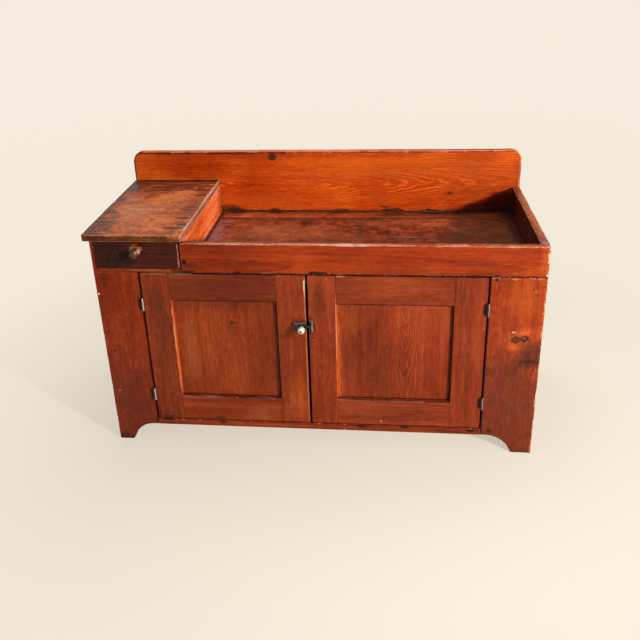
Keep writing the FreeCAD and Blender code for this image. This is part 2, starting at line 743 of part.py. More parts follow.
drawer_knob_neck = "drawer_front_back + drawer_proud"
drawer_knob_collar = f"{drawer_knob_neck} + drawer_knob_collar_thickness"
drawer_knob_head = f"{drawer_knob_neck} + drawer_knob_neck_length"
drawer_knob_end = f"{drawer_knob_head} + drawer_knob_head_length"
finish("drawer_knob", turned(
    "drawer_knob",
    [("0", "0"), ("0", "drawer_knob_tenon_radius"), (drawer_knob_neck, "drawer_knob_tenon_radius"),
     (drawer_knob_neck, "drawer_knob_collar_radius"), (drawer_knob_collar, "drawer_knob_collar_radius"),
     (drawer_knob_collar, "drawer_knob_neck_radius"), (drawer_knob_head, "drawer_knob_neck_radius"),
     (drawer_knob_head, "drawer_knob_radius"), (drawer_knob_end, "drawer_knob_radius"),
     (drawer_knob_end, "0")],
    "drawer_knob_x", "drawer_front_back", "drawer_knob_z",
    [("drawer_knob_collar_round", (drawer_knob_collar, "drawer_knob_collar_radius")),
     ("drawer_knob_shoulder_round", (drawer_knob_head, "drawer_knob_radius")),
     ("drawer_knob_face_round", (drawer_knob_end, "drawer_knob_radius"))]))

# ---- latch and keeper ----
height_span = ("latch_height - latch_case_height / 2", "latch_height + latch_case_height / 2")
case_block = block("latch_case_block", ("latch_left", "latch_right"), ("-latch_case_depth", "0"), height_span)
case_boss = rod("latch_case_boss", "y", "boss_front", "-latch_case_depth / 2", "latch_boss_radius",
                ("latch_x", "latch_height"))
cavity = block("latch_cavity", ("cavity_left", "cavity_right"), ("cavity_front", "cut_past"),
               ("latch_height - latch_cavity_height / 2", "latch_height + latch_cavity_height / 2"))
bolt_slot = block("latch_slot", ("cavity_right - cut_past", "latch_right + cut_past"),
                  ("cavity_front", "cut_past"),
                  ("latch_height - keeper_slot_half", "latch_height + keeper_slot_half"))
spindle_bore = rod("latch_spindle_bore", "y", "boss_front - cut_past", "0", "spindle_radius + spindle_play",
                   ("latch_x", "latch_height"))
latch_screws = [
    screw(f"latch_screw_{step + 1}", "y", "-latch_case_depth", 1, "latch_left + latch_post / 2",
          f"latch_height + ({step}) * latch_screw_spacing / 2", "latch_screw_length") for step in (-1, 1)]
latch_screw_group = finish("latch_case_screws", joined("latch_case_screws", latch_screws))
finish("latch_case", carved("latch_case", joined("latch_case_solid", [case_block, case_boss]),
                            [cavity, bolt_slot, spindle_bore, latch_screw_group]))

bolt_tail = block("bolt_tail", ("bolt_tail_left", "bolt_tail_right"), ("bolt_front", "bolt_back"),
                  ("latch_height - bolt_tail_height / 2", "latch_height + bolt_tail_height / 2"))
bolt_nose = block("bolt_nose", ("bolt_tail_right", "bolt_tip"), ("bolt_front", "bolt_back"),
                  ("latch_height - bolt_height / 2", "latch_height + bolt_height / 2"))
slot_half = "spindle_radius + bolt_play"
spindle_slot = block("bolt_spindle_slot", (f"latch_x - bolt_travel - ({slot_half})", f"latch_x + {slot_half}"),
                     ("bolt_front - cut_past", "bolt_back + cut_past"),
                     (f"latch_height - ({slot_half})", f"latch_height + {slot_half}"))
notch_half = "crank_pin_radius + bolt_play / 2"
pin_notch = block("bolt_pin_notch", (f"crank_pin_x - ({notch_half})", f"crank_pin_x + {notch_half}"),
                  ("bolt_front - cut_past", "bolt_back + cut_past"),
                  ("latch_height - bolt_tail_height", f"crank_pin_z + {notch_half}"))
finish("latch_bolt", carved("latch_bolt", joined("latch_bolt_bar", [bolt_tail, bolt_nose]),
                            [spindle_slot, pin_notch]))

spindle_centre = ("latch_x", "latch_height")
crank_back = "crank_front + crank_thickness"
spindle_shaft = rod("spindle_shaft", "y", "porcelain_back - spindle_socket", crank_back, "spindle_radius",
                    spindle_centre)
crank_hub = rod("crank_hub", "y", "crank_front", crank_back, "crank_hub_radius", spindle_centre)
crank_side = ("crank_cosine * crank_width / 2", "crank_sine * crank_width / 2")
crank_arm = shaped(
    "crank_arm", "XZ_Plane",
    [(f"latch_x + {crank_side[0]}", f"latch_height - {crank_side[1]}"),
     (f"latch_x - {crank_side[0]}", f"latch_height + {crank_side[1]}"),
     (f"crank_pin_x - {crank_side[0]}", f"crank_pin_z + {crank_side[1]}"),
     (f"crank_pin_x + {crank_side[0]}", f"crank_pin_z - {crank_side[1]}")],
    "crank_thickness", ("latch_x", "crank_front", "latch_height"))
pin_centre = ("crank_pin_x", "crank_pin_z")
crank_eye = rod("crank_eye", "y", "crank_front", crank_back, "crank_width / 2", pin_centre)
crank_pin = rod("crank_pin", "y", "bolt_front", crank_back, "crank_pin_radius", pin_centre)
knob_screw = finish("latch_knob_screw", joined("latch_knob_screw", [
    rod("knob_screw_shank", "y", "porcelain_front", "porcelain_front + porcelain_screw_length",
        "porcelain_screw_radius", spindle_centre),
    rod("knob_screw_head", "y", "porcelain_front - porcelain_screw_rise",
        "porcelain_front + porcelain_screw_rise", "porcelain_screw_head_radius", spindle_centre)]))
spindle_solid = joined("spindle_solid", [spindle_shaft, crank_hub, crank_arm, crank_eye, crank_pin])
finish("latch_spindle", carved("latch_spindle", spindle_solid, [knob_screw]))
porcelain = turned(
    "porcelain_blank",
    [("0", "0"), ("0", "porcelain_neck_radius"), ("porcelain_neck_length", "porcelain_neck_radius"),
     ("porcelain_neck_length", "porcelain_radius"), ("porcelain_length", "porcelain_radius"),
     ("porcelain_length", "0")],
    "latch_x", "porcelain_back", "latch_height",
    [("porcelain_shoulder_round", ("porcelain_neck_length", "porcelain_radius")),
     ("porcelain_face_round", ("porcelain_length", "porcelain_radius"))])
finish("latch_knob", carved("latch_knob", porcelain, [spindle_shaft, knob_screw]))

keeper_span = ("keeper_left", "keeper_right")
keeper_face = block("keeper_face", keeper_span, ("-keeper_plate", "0"),
                    ("latch_height - keeper_height / 2", "latch_height + keeper_height / 2"))
bridge_half = "keeper_slot_half + keeper_post"
keeper_bridge = block("keeper_bridge", keeper_span, ("-latch_case_depth", "-keeper_plate / 2"),
                      (f"latch_height - ({bridge_half})", f"latch_height + {bridge_half}"))
keeper_opening = block("keeper_opening", ("keeper_left - cut_past", "keeper_right + cut_past"),
                       ("cavity_front", "-keeper_plate"),
                       ("latch_height - keeper_slot_half", "latch_height + keeper_slot_half"))
keeper_screws = [
    screw(f"keeper_screw_{step + 1}", "y", "-keeper_plate", 1, "(keeper_left + keeper_right) / 2",
          f"latch_height + ({step}) * (keeper_height / 2 - keeper_screw_inset)", "keeper_screw_length")
    for step in (-1, 1)]
keeper_screw_group = finish("keeper_screws", joined("keeper_screws", keeper_screws))
finish("latch_keeper", carved("latch_keeper", joined("keeper_solid", [keeper_face, keeper_bridge]),
                              [keeper_opening, keeper_screw_group]))


# ---- doors ----
def panelled_door(hand, hinge_edge, sign, door_width, cutters):
    """A mortised frame of two stiles and two rails with a flat panel loose in its grooves."""
    hinge_stile, latch_stile = f"{hand}_hinge_stile", f"{hand}_latch_stile"
    inner_span = span(hinge_edge, sign, hinge_stile, f"{door_width} - {latch_stile}")
    groove_span = span(hinge_edge, sign, f"{hinge_stile} - groove_depth",
                       f"{door_width} - {latch_stile} + groove_depth")
    tenon_span = span(hinge_edge, sign, f"{hinge_stile} - tenon_length",
                      f"{door_width} - {latch_stile} + tenon_length")
    face = ("0", "door_thickness")
    slot = ("panel_recess", "groove_back")
    opening_low, opening_high = f"door_bottom + {hand}_bottom_rail", f"door_top - {hand}_top_rail"
    groove = block(f"{hand}_door_groove", groove_span, slot,
                   (f"{opening_low} - groove_depth", f"{opening_high} + groove_depth"))
    tenons = {
        "bottom": block(f"{hand}_bottom_tenons", tenon_span, slot,
                        ("door_bottom + tenon_shoulder", f"{opening_low} - groove_depth")),
        "top": block(f"{hand}_top_tenons", tenon_span, slot,
                     (f"{opening_high} + groove_depth", "door_top - tenon_shoulder"))}
    stile_spans = {"hinge": span(hinge_edge, sign, "0", hinge_stile),
                   "latch": span(hinge_edge, sign, f"{door_width} - {latch_stile}", door_width)}
    for role, x in stile_spans.items():
        label = f"{hand}_door_{role}_stile"
        blank = board(f"{label}_blank", x, face, ("door_bottom", "door_top"))
        finish(label, carved(label, blank, [groove, tenons["bottom"], tenons["top"]] + cutters[role]))
    rail_heights = {"bottom": ("door_bottom", opening_low), "top": (opening_high, "door_top")}
    for role, z in rail_heights.items():
        label = f"{hand}_door_{role}_rail"
        blank = board(f"{label}_blank", inner_span, face, z)
        tenoned = joined(f"{label}_tenoned", [blank, tenons[role]])
        finish(label, carved(label, tenoned, [groove]))
    label = f"{hand}_door_panel"
    panel_span = (f"{groove_span[0]} + panel_edge_play", f"{groove_span[1]} - panel_edge_play")
    finish(label, block(label, panel_span, ("panel_recess", "panel_back"),
                        (f"{opening_low} - groove_depth + panel_edge_play",
                         f"{opening_high} + groove_depth - panel_edge_play")))


panelled_door("left", "left_door_left", 1, "(left_door_right - left_door_left)",
              {"hinge": [door_screw_groups["left"]], "latch": [latch_screw_group]})
panelled_door("right", "right_door_right", -1, "(right_door_right - right_door_left)",
              {"hinge": [door_screw_groups["right"]], "latch": [keeper_screw_group]})

# ---- check and export ----
doc.recompute()
failed = [item.Name for item in doc.Objects if {"Invalid", "Error"} & set(item.State)]
if failed:
    raise SystemExit(f"failed objects: {failed}")
os.makedirs("parts", exist_ok=True)
for label, item in subparts.items():
    shape = item.Shape
    if shape.isNull() or not shape.isValid() or not shape.Solids:
        raise SystemExit(f"{label} has no valid solid")
    if item.Label != label:
        raise SystemExit(f"{label} is labelled {item.Label}")
    shape.exportStep(f"parts/{label}.step")
print(f"{len(subparts)} sub-parts written")
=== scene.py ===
import math

import bmesh
import bpy
import numpy as np
from mathutils import Matrix, Vector


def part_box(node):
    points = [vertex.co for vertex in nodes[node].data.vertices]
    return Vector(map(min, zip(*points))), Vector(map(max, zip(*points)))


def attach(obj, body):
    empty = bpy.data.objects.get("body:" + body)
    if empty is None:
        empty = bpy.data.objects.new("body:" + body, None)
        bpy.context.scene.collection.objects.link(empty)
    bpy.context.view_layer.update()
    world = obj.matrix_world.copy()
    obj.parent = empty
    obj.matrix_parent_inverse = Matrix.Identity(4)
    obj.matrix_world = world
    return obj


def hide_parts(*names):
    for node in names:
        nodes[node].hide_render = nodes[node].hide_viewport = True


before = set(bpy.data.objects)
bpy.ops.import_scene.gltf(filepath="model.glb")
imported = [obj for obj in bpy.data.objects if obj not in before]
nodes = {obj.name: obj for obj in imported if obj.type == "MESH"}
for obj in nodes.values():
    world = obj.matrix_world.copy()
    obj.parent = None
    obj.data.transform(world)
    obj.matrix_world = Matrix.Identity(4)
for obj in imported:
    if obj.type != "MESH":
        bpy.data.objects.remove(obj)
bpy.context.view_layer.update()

axisIndex = {"x": 0, "y": 1, "z": 2}
# All the sizes below are millimetres of the case: x from its middle, y from its face, z from the floor.
caseOrigin = np.array([(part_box("left_side_board")[0].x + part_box("right_side_board")[1].x) / 2,
                       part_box("front_apron")[0].y, 0.0])


def toFrame(points):
    # case millimetres to the frame's metres: divide by a thousand, then add the case's own origin
    return np.asarray(points, float) / 1000 + caseOrigin


def levelOf(axis, value):
    # the same for one coordinate
    return toFrame([value] * 3)[axisIndex[axis]]


def caseBox(node):
    # a node's lowest and highest corners, back in case millimetres
    low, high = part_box(node)
    return (np.array(low) - caseOrigin) * 1000, (np.array(high) - caseOrigin) * 1000


def middleOf(node):
    return sum(caseBox(node)) / 2


# shader helpers
def shaderTree(owner):
    # empties a material's or a world's tree and gives four short ways to add nodes to it: node, calc (one
    # Math), blend (one colour mix) and step
    owner.use_nodes = True
    tree = owner.node_tree
    tree.nodes.clear()

    def node(kind, inputs=None, **settings):
        made = tree.nodes.new("ShaderNode" + kind)
        for key, value in settings.items():
            setattr(made, key, value)
        for key, value in (inputs or {}).items():
            if isinstance(value, bpy.types.NodeSocket):
                tree.links.new(value, made.inputs[key])
            else:
                made.inputs[key].default_value = value
        return made

    def calc(operation, *values):
        return node("Math", dict(enumerate(values)), operation=operation).outputs[0]

    def blend(amount, under, over, how="MIX"):
        return node("Mix", {0: amount, 6: under, 7: over}, data_type="RGBA", blend_type=how).outputs[2]

    def step(value, low, high, amount=1.0):
        # smooth step: 0 below low, amount above high (low may be the larger one)
        return node("MapRange", {"Value": value, "From Min": low, "From Max": high, "To Max": amount},
                    interpolation_type="SMOOTHSTEP").outputs[0]

    return node, calc, blend, step


def surfaceFrom(node, colour, roughness, height, strength, depth, **more):
    # a material's output: a surface raised by a height, with more of the shader's own inputs
    bump = node("Bump", {"Strength": strength, "Distance": depth, "Height": height}).outputs[0]
    inputs = {"Base Color": colour, "Roughness": roughness, "Normal": bump}
    surface = node("BsdfPrincipled", inputs | {key.replace("_", " "): more[key] for key in more})
    node("OutputMaterial", {0: surface.outputs[0]})


def seenRays(node, calc):
    # 1 for rays that show the surface itself, 0 for those that carry its light to other things
    rays = node("LightPath").outputs
    either = calc("MAXIMUM", rays["Is Camera Ray"], rays["Is Glossy Ray"])
    return calc("MAXIMUM", either, rays["Is Transmission Ray"])


def rgb(colour):
    return (*colour, 1.0)


# wood
pigments = {
    "black": (0.008, 0.005, 0.004), "brown": (0.045, 0.014, 0.008), "red": (0.16, 0.018, 0.007),
    "orange": (0.62, 0.12, 0.018), "amber": (0.46, 0.15, 0.048), "tan": (0.52, 0.24, 0.10),
    "pink": (0.62, 0.30, 0.20), "pale": (0.78, 0.56, 0.38), "grey": (0.25, 0.15, 0.15),
    "steel": (0.24, 0.22, 0.26), "ochre": (0.38, 0.165, 0.060), "bone": (0.94, 0.78, 0.68),
    "olive": (0.075, 0.032, 0.012), "plum": (0.085, 0.022, 0.020), "oxblood": (0.060, 0.0070, 0.0045),
    "ink": (0.020, 0.014, 0.019),
}

timbers = {
    "front": dict(dark=(0.085, 0.010, 0.003), mid=(0.25, 0.029, 0.0045), light=(0.47, 0.075, 0.012),
                  worn=(0.50, 0.15, 0.055), grime=(0.030, 0.009, 0.005), gloss=0.44, ring=0.28),
    "splash": dict(dark=(0.24, 0.022, 0.001), mid=(0.52, 0.062, 0.003), light=(0.82, 0.150, 0.010),
                   worn=(0.62, 0.22, 0.14), grime=(0.035, 0.008, 0.006), gloss=0.46, ring=0.30),
    "door": dict(dark=(0.078, 0.0105, 0.003), mid=(0.228, 0.033, 0.0078), light=(0.40, 0.077, 0.020),
                 worn=(0.42, 0.13, 0.055), grime=(0.026, 0.008, 0.005), gloss=0.42, ring=0.28),
    "lid": dict(dark=(0.085, 0.016, 0.006), mid=(0.37, 0.076, 0.017), light=(0.72, 0.22, 0.058),
                worn=(0.56, 0.21, 0.09), grime=(0.05, 0.016, 0.010), gloss=0.40, ring=0.26),
    "floor": dict(dark=(0.055, 0.010, 0.006), mid=(0.22, 0.034, 0.012), light=(0.46, 0.10, 0.040),
                  worn=(0.44, 0.18, 0.09), grime=(0.030, 0.011, 0.008), gloss=0.40, ring=0.24),
    "divider": dict(dark=(0.56, 0.070, 0.016), mid=(0.97, 0.195, 0.042), light=(0.98, 0.38, 0.15),
                    worn=(0.80, 0.48, 0.34), grime=(0.10, 0.03, 0.02), gloss=0.48, ring=0.24),
    "drawer": dict(dark=(0.013, 0.0036, 0.0026), mid=(0.044, 0.0068, 0.0038), light=(0.11, 0.020, 0.010),
                   worn=(0.34, 0.13, 0.08), grime=(0.012, 0.005, 0.004), gloss=0.46, ring=0.22),
    "bare": dict(dark=(0.16, 0.075, 0.034), mid=(0.34, 0.18, 0.085), light=(0.50, 0.30, 0.15),
                 worn=(0.55, 0.38, 0.22), grime=(0.10, 0.05, 0.03), gloss=0.70, ring=0.40),
    "knob": dict(dark=(0.020, 0.006, 0.004), mid=(0.085, 0.026, 0.015), light=(0.22, 0.080, 0.042),
                 worn=(0.55, 0.34, 0.24), grime=(0.02, 0.009, 0.006), gloss=0.20, ring=0.30, shine=0.32),
}

grainNoise = {
    # (scale across, into and along the wood), what is added to the board's seed, and the detail
    "sway": ((2.4, 2.4, 1.1), 0, 1.0), "curl": ((24, 24, 9), 3, 2.0), "heave": ((2.0, 2.0, 0.9), 9, 1.0),
    "fibre": ((620, 620, 9), 21, 2.0), "fine": ((210, 210, 11), 25, 3.0), "streak": ((48, 48, 1.3), 31, 3.0),
    "flamePatch": ((11, 11, 4.5), 33, 3.0), "mottle": ((95, 95, 42), 35, 4.0),
    "spotting": ((30, 30, 24), 37, 6.0), "speckle": ((150, 150, 120), 39, 3.0),
    "blotch": ((4.5, 4.5, 2.4), 41, 4.0), "spill": ((17, 17, 12), 43, 5.0), "dabs": ((75, 75, 85), 45, 4.0),
    "ragged": ((75, 75, 24), 51, 3.0), "fray": ((190, 190, 38), 55, 2.0), "warmth": ((7, 7, 1.6), 61, 2.0),
    "crack": ((900, 900, 14), 71, 1.0), "swell": ((40, 40, 11), 81, 3.0),
    "fleck": ((210, 210, 120), 91, 1.0), "pore": ((240, 240, 70), 93, 1.0),
    "chip": ((240, 240, 150), 95, 4.0), "chipPatch": ((14, 14, 14), 97, 2.0),
    "scratch": ((700, 2, 7), 0, 1.0),
}
grainShares = {
    # how much each noise changes the tone, and how much of that an all-over stain takes away
    "streak": (0.48, 0.34), "blotch": (1.0, 0), "fibre": (0.25, 0.12), "fine": (0.44, 0.2),
    "mottle": (0.46, 0),
}
stainShares = {"spotting": 0.95, "dabs": 0.85, "speckle": 0.45}
scratchTurns = {5: 0.5, 17: -0.35, 29: 1.3}     # what is added to the seed: the slant in radians
wood = {
    "middleTone": 0.56, "toneStops": (0.12, 0.95, 0.54), "lateSharpness": 2.6, "curl": 3, "flecks": 0.35,
    "wornShare": 0.8, "soiledShare": 0.85, "crackShare": 0.55, "poreShare": 0.5, "specular": 0.10,
    "bumpStrength": 0.5, "flameSpacing": 0.0042, "bumpDepth": 0.0007,      # the last two are metres
}


def spots(axis, level, reach, *rows):
    # Marks on one face of a board, which lies at a level of an axis. A row is the mark's middle and its half
    # widths on the face, pigment, amount, raggedness and perhaps its own reach into the wood and own level.
    slot = axisIndex[axis]
    marks = []
    for u, v, wide, high, pigment, amount, rag, *own in rows:
        point, radii = [u, v], [wide, high]
        point.insert(slot, own[1] if len(own) > 1 else level)
        radii.insert(slot, own[0] if own else reach)
        marks.append((point, radii, pigment, amount, rag))
    return marks


def woodMaterial(name, timber, grain, deep, centre, seed, rings, marks=(), lines=(), knots=(), chipped=(),
                 tint=(1, 1, 1), scratches=0.0, redness=0.5, figure=1.0, unrest=1.0, raw=None, flame=0.0,
                 stains=0.0):
    # Sawn wood. A point's distance from a wandering pith line, divided by the ring width, gives the rings,
    # and the part past a whole number each ring's dark late wood. Noises add fibres, streaks and blotches.
    look = timbers[timber]
    material = bpy.data.materials.new(name)
    node, calc, blend, step = shaderTree(material)
    across = ({"x", "y", "z"} - {grain, deep}).pop()
    objectPoint = node("TexCoord").outputs["Object"]
    at = node("SeparateXYZ", {0: objectPoint}).outputs
    centred = node("Mapping", {"Vector": objectPoint, "Location": tuple(-toFrame(centre))}).outputs[0]
    parts = node("SeparateXYZ", {0: centred}).outputs
    crosswise, inwards, lengthwise = (parts[axisIndex[letter]] for letter in (across, deep, grain))
    local = node("CombineXYZ", {0: crosswise, 1: inwards, 2: lengthwise}).outputs[0]

    def noise(kind, shift=0, turn=0.0):
        # a noise with its own scale across, into and along the wood
        scale, own, detail = grainNoise[kind]
        offset = seed + own + shift
        vector = node("Mapping", {"Vector": local, "Location": (offset, offset * 1.7, offset * 0.6),
                                  "Rotation": (0, turn, 0), "Scale": scale}).outputs[0]
        return node("TexNoise", {"Vector": vector, "Scale": 1.0, "Detail": detail}).outputs[0]

    def unbiased(value):
        # a noise with its middle moved to 0
        return calc("SUBTRACT", value, 0.5)

    wave, curl = rings["wave"] / 1000, rings.get("curl", wood["curl"]) / 1000
    tilts, pith = rings["tilt"], [value / 1000 for value in rings["pith"]]
    sway = calc("MULTIPLY", unbiased(noise("sway")), wave)
    sway = calc("ADD", sway, calc("MULTIPLY", unbiased(noise("curl")), curl))
    heave = calc("MULTIPLY", unbiased(noise("heave")), wave)
    fromPith = [calc("ADD", calc("MULTIPLY_ADD", lengthwise, -tilt, calc("SUBTRACT", start, middle)), wander)
                for tilt, start, middle, wander in zip(tilts, (crosswise, inwards), pith, (sway, heave))]
    away = node("VectorMath", {0: node("CombineXYZ", {0: fromPith[0], 1: fromPith[1]}).outputs[0]},
                operation="LENGTH").outputs["Value"]

    def nearness(point, radii, low, high, rag=0.0, amount=1.0):
        # 1 inside an ellipsoid about a point, 0 outside it, with a ragged edge; with rag None, a box
        where, size = toFrame(point), np.asarray(radii, float) / 1000
        scaled = node("Mapping", {"Vector": objectPoint, "Location": tuple(-where / size),
                                  "Scale": tuple(1 / size)}).outputs[0]
        if rag is None:
            absolute = node("VectorMath", {0: scaled}, operation="ABSOLUTE").outputs[0]
            sides = node("SeparateXYZ", {0: absolute}).outputs
            reach = calc("MAXIMUM", calc("MAXIMUM", sides[0], sides[1]), sides[2])
        else:
            reach = node("VectorMath", {0: scaled}, operation="LENGTH").outputs["Value"]
        if rag:
            reach = calc("MULTIPLY_ADD", tatter, rag, reach)
        return step(reach, high, low, amount)

    for point, size in knots:
        push = nearness(point, (size * 4, size * 4, size * 4), 0.0, 1.0, amount=size * 0.0009)
        away = calc("ADD", away, push)
    ringCount = calc("DIVIDE", away, rings["spacing"] / 1000)
    pastRing = calc("FRACT", ringCount)
    strength = node("TexWhiteNoise", {"W": calc("ADD", calc("FLOOR", ringCount), seed)},
                    noise_dimensions="1D").outputs["Value"]
    late = calc("MULTIPLY", calc("POWER", pastRing, wood["lateSharpness"]), step(pastRing, 1.0, 0.93))
    late = calc("MULTIPLY", late, calc("MULTIPLY_ADD", strength, 0.75, 0.25))
    layers = {kind: noise(kind) for kind in grainShares}
    ragged = noise("ragged")
    tatter = calc("MULTIPLY_ADD", unbiased(noise("fray")), 1.3, calc("MULTIPLY", unbiased(ragged), 1.4))
    tone = calc("MULTIPLY_ADD", late, -look["ring"] * figure, wood["middleTone"])
    if flame:
        # curled figure: fine light lines that follow the rings' own waves, in patches
        line = calc("FRACT", calc("MULTIPLY_ADD", ragged, 1.6, calc("DIVIDE", away, wood["flameSpacing"])))
        line = calc("MULTIPLY", step(line, 0.45, 0.75), step(line, 1.0, 0.85))
        tone = calc("ADD", tone, calc("MULTIPLY", line, step(noise("flamePatch"), 0.44, 0.62, flame)))
    shares = {kind: share - loss * stains for kind, (share, loss) in grainShares.items()}
    if stains:
        # use has mottled the board with spills and scrubbing, which don't follow its grain
        layers |= {kind: noise(kind) for kind in stainShares}
        shares |= {kind: share * stains for kind, share in stainShares.items()}
    for kind, layer in layers.items():
        tone = calc("ADD", tone, calc("MULTIPLY", unbiased(layer), shares[kind] * unrest))

    def toned(*colours):
        # the tone through a ramp from dark to light
        ramp = node("ValToRGB", {0: tone})
        stops = ramp.color_ramp.elements
        stops[0].position, stops[1].position = wood["toneStops"][:2]
        if len(colours) > 2:
            stops.new(wood["toneStops"][2])
        for stop, colour in zip(stops, colours):
            stop.color = rgb(colour)
        return ramp.outputs[0]

    colour = toned(*(np.multiply(look[key], tint).tolist() for key in ("dark", "mid", "light")))
    colour = blend(step(noise("warmth"), 0.38, 0.66, redness), colour, (1.0, 0.74, 0.70, 1.0), "MULTIPLY")
    if stains:
        spill = noise("spill")
        colour = blend(step(spill, 0.52, 0.68, 0.42 * stains), colour, rgb(look["light"]))
        colour = blend(step(spill, 0.45, 0.30, 0.60 * stains), colour, rgb(look["grime"]))
    crack = step(noise("crack"), 0.70, 0.78, wood["crackShare"])
    colour = blend(crack, colour, rgb([part * 0.35 for part in look["dark"]]))
    if scratches:
        for shift, turn in scratchTurns.items():
            mark = step(noise("scratch", shift, turn), 0.715, 0.78, scratches)
            colour = blend(mark, colour, rgb(look["worn"]))
    colour = blend(step(noise("fleck"), 0.725, 0.76, wood["flecks"]), colour, rgb(look["worn"]))
    pore = step(noise("pore"), 0.70, 0.76, wood["poreShare"])
    colour = blend(pore, colour, rgb([part * 0.4 for part in look["dark"]]))
    for point, radii, pigment, amount, rag in marks:
        # a strong mark has a firm limit and a weak one fades out
        low, high = (0.62, 1.2) if amount >= 0.5 else (0.0, 1.5)
        mask = calc("MULTIPLY", nearness(point, radii, low, high, rag, amount),
                    calc("MULTIPLY_ADD", layers["streak"], 0.5, 0.72))
        colour = blend(mask, colour, rgb(pigments[pigment]))

    def beside(axes, values, width):
        # 1 on a plane or edge given by one or two axes and their values, 0 past its width, ragged between
        gap = 0.0
        for axis, value in zip(axes, np.ravel(values)):
            distance = calc("ABSOLUTE", calc("SUBTRACT", at[axisIndex[axis]], levelOf(axis, value)))
            gap = calc("MAXIMUM", gap, distance)
        return step(calc("MULTIPLY_ADD", tatter, width / 1400, gap), width / 1000, width / 2200)

    for axes, values, width, pigment, amount in lines:
        colour = blend(calc("MULTIPLY", beside(axes, values, width), amount), colour, rgb(pigments[pigment]))
    if raw:
        # the faces that the finish never reached, between planes given for one or two axes
        plain = toned(timbers["bare"]["dark"], timbers["bare"]["light"])
        bared = 1.0
        for axis, (start, end) in raw.items():
            start, end = levelOf(axis, start), levelOf(axis, end)
            bared = calc("MULTIPLY", bared, step(at[axisIndex[axis]], start - 0.0004, start + 0.0004))
            bared = calc("MULTIPLY", bared, step(at[axisIndex[axis]], end + 0.0004, end - 0.0004))
        colour = blend(bared, colour, plain)
    # Where the wear is high an arris takes the pale worn colour, and where it is low the grime. The high
    # tones given to top and right edges, which face the lamps, make the pale colour partly a painted
    # highlight there.
    edge = node("Attribute", attribute_name="wear").outputs["Fac"]
    rough = calc("MULTIPLY", unbiased(ragged), 1.1)
    pale = step(calc("ADD", edge, rough), 0.30, 0.72, wood["wornShare"])
    soiled = step(calc("SUBTRACT", rough, edge), 0.25, 0.75, wood["soiledShare"])
    colour = blend(soiled, colour, rgb(look["grime"]))
    colour = blend(pale, colour, rgb(look["worn"]))
    for index, (axes, values, width, pigment, amount) in enumerate(chipped):
        # small breaks in the finish along an edge, some close together and some alone
        patchy = calc("MULTIPLY_ADD", noise("chipPatch", index), 0.9, -0.45)
        bits = step(calc("ADD", noise("chip", index), patchy), 0.55, 0.65, amount)
        colour = blend(calc("MULTIPLY", beside(axes, values, width), bits), colour, rgb(pigments[pigment]))
    roughness = calc("MULTIPLY_ADD", unbiased(layers["blotch"]), 0.30, look["gloss"])
    roughness = calc("ADD", roughness, calc("MULTIPLY", pale, 0.20))
    height = calc("MULTIPLY_ADD", late, -0.30, calc("MULTIPLY", layers["fibre"], 0.35))
    height = calc("MULTIPLY_ADD", noise("swell"), 1.0, height)
    height = calc("MULTIPLY_ADD", crack, -0.8, height)
    surfaceFrom(node, colour, roughness, height, wood["bumpStrength"], wood["bumpDepth"],
                Specular_IOR_Level=look.get("shine", wood["specular"]))
    return material


# meshes
def gridFaces(rows, columns):
    # quads between neighbouring rows of a grid whose columns close into a ring
    row, column = np.meshgrid(np.arange(rows - 1), np.arange(columns), indexing="ij")
    following = (column + 1) % columns
    quads = np.stack([row * columns + column, (row + 1) * columns + column,
                      (row + 1) * columns + following, row * columns + following], axis=-1)
    return quads.reshape(-1, 4)


def meshPiece(name, points, faces, wear=None, smooth=True):
    mesh = bpy.data.meshes.new(name)
    mesh.from_pydata(points, [], faces)
    mesh.polygons.foreach_set("use_smooth", np.full(len(mesh.polygons), smooth))
    if wear is not None:
        mesh.attributes.new("wear", "FLOAT", "POINT").data.foreach_set("value", wear.astype(np.float32))
    mesh.update()
    piece = bpy.data.objects.new(name, mesh)
    bpy.context.scene.collection.objects.link(piece)
    return piece


def ripple(along, total, length, seed):
    # a smooth wave round a closed line: a random height every so many millimetres, eased by a cosine between
    count = max(4, int(total / length))
    heights = np.random.default_rng(seed).uniform(-1, 1, count)
    position = along / total * count
    position = position + 0.8 * np.sin(2 * math.pi * (count // 5) * along / total + seed)      # uneven waves
    low = np.floor(position).astype(int)
    ease = (1 - np.cos(np.pi * (position - low))) / 2
    return heights[low % count] * (1 - ease) + heights[(low + 1) % count] * ease


def unit(vector):
    return vector / np.linalg.norm(vector)


def filleted(corners):
    # Corners (u, v, fillet radius, wear, tone), anticlockwise, to the points of an outline, the wear and tone
    # of the edge that leaves each point, and which points are sharp. A fillet touches both its edges.
    points, edges, sharp = [], [], []
    for index, (u, v, radius, wear, tone) in enumerate(corners):
        here = np.array([u, v], float)
        if not radius:
            points.append([here])
            edges.append((wear, tone))
            sharp.append(True)
            continue
        back = unit(np.array(corners[index - 1][:2], float) - here)
        ahead = unit(np.array(corners[(index + 1) % len(corners)][:2], float) - here)
        half = math.acos(np.clip(back @ ahead, -1, 1)) / 2
        centre = here + unit(back + ahead) * radius / math.sin(half)
        first, last = (here + side * radius / math.tan(half) - centre for side in (back, ahead))
        start = math.atan2(first[1], first[0])
        turn = (math.atan2(last[1], last[0]) - start + math.pi) % (2 * math.pi) - math.pi
        count = max(4, int(abs(turn) * radius / 4))
        angles = start + turn * np.linspace(0, 1, count + 1)
        points.append(centre + radius * np.stack([np.cos(angles), np.sin(angles)], axis=1))
        edges += [(wear, tone)] * (count + 1)
        sharp += [False] * (count + 1)
    return np.concatenate(points), np.array(edges, float), np.array(sharp)


planes = {
    # the two axes of the outline, the axis of the thickness, and its sense against the outline's turn
    "front": (0, 2, 1, -1),
    "side": (1, 2, 0, 1),
    "flat": (0, 1, 2, 1),
}


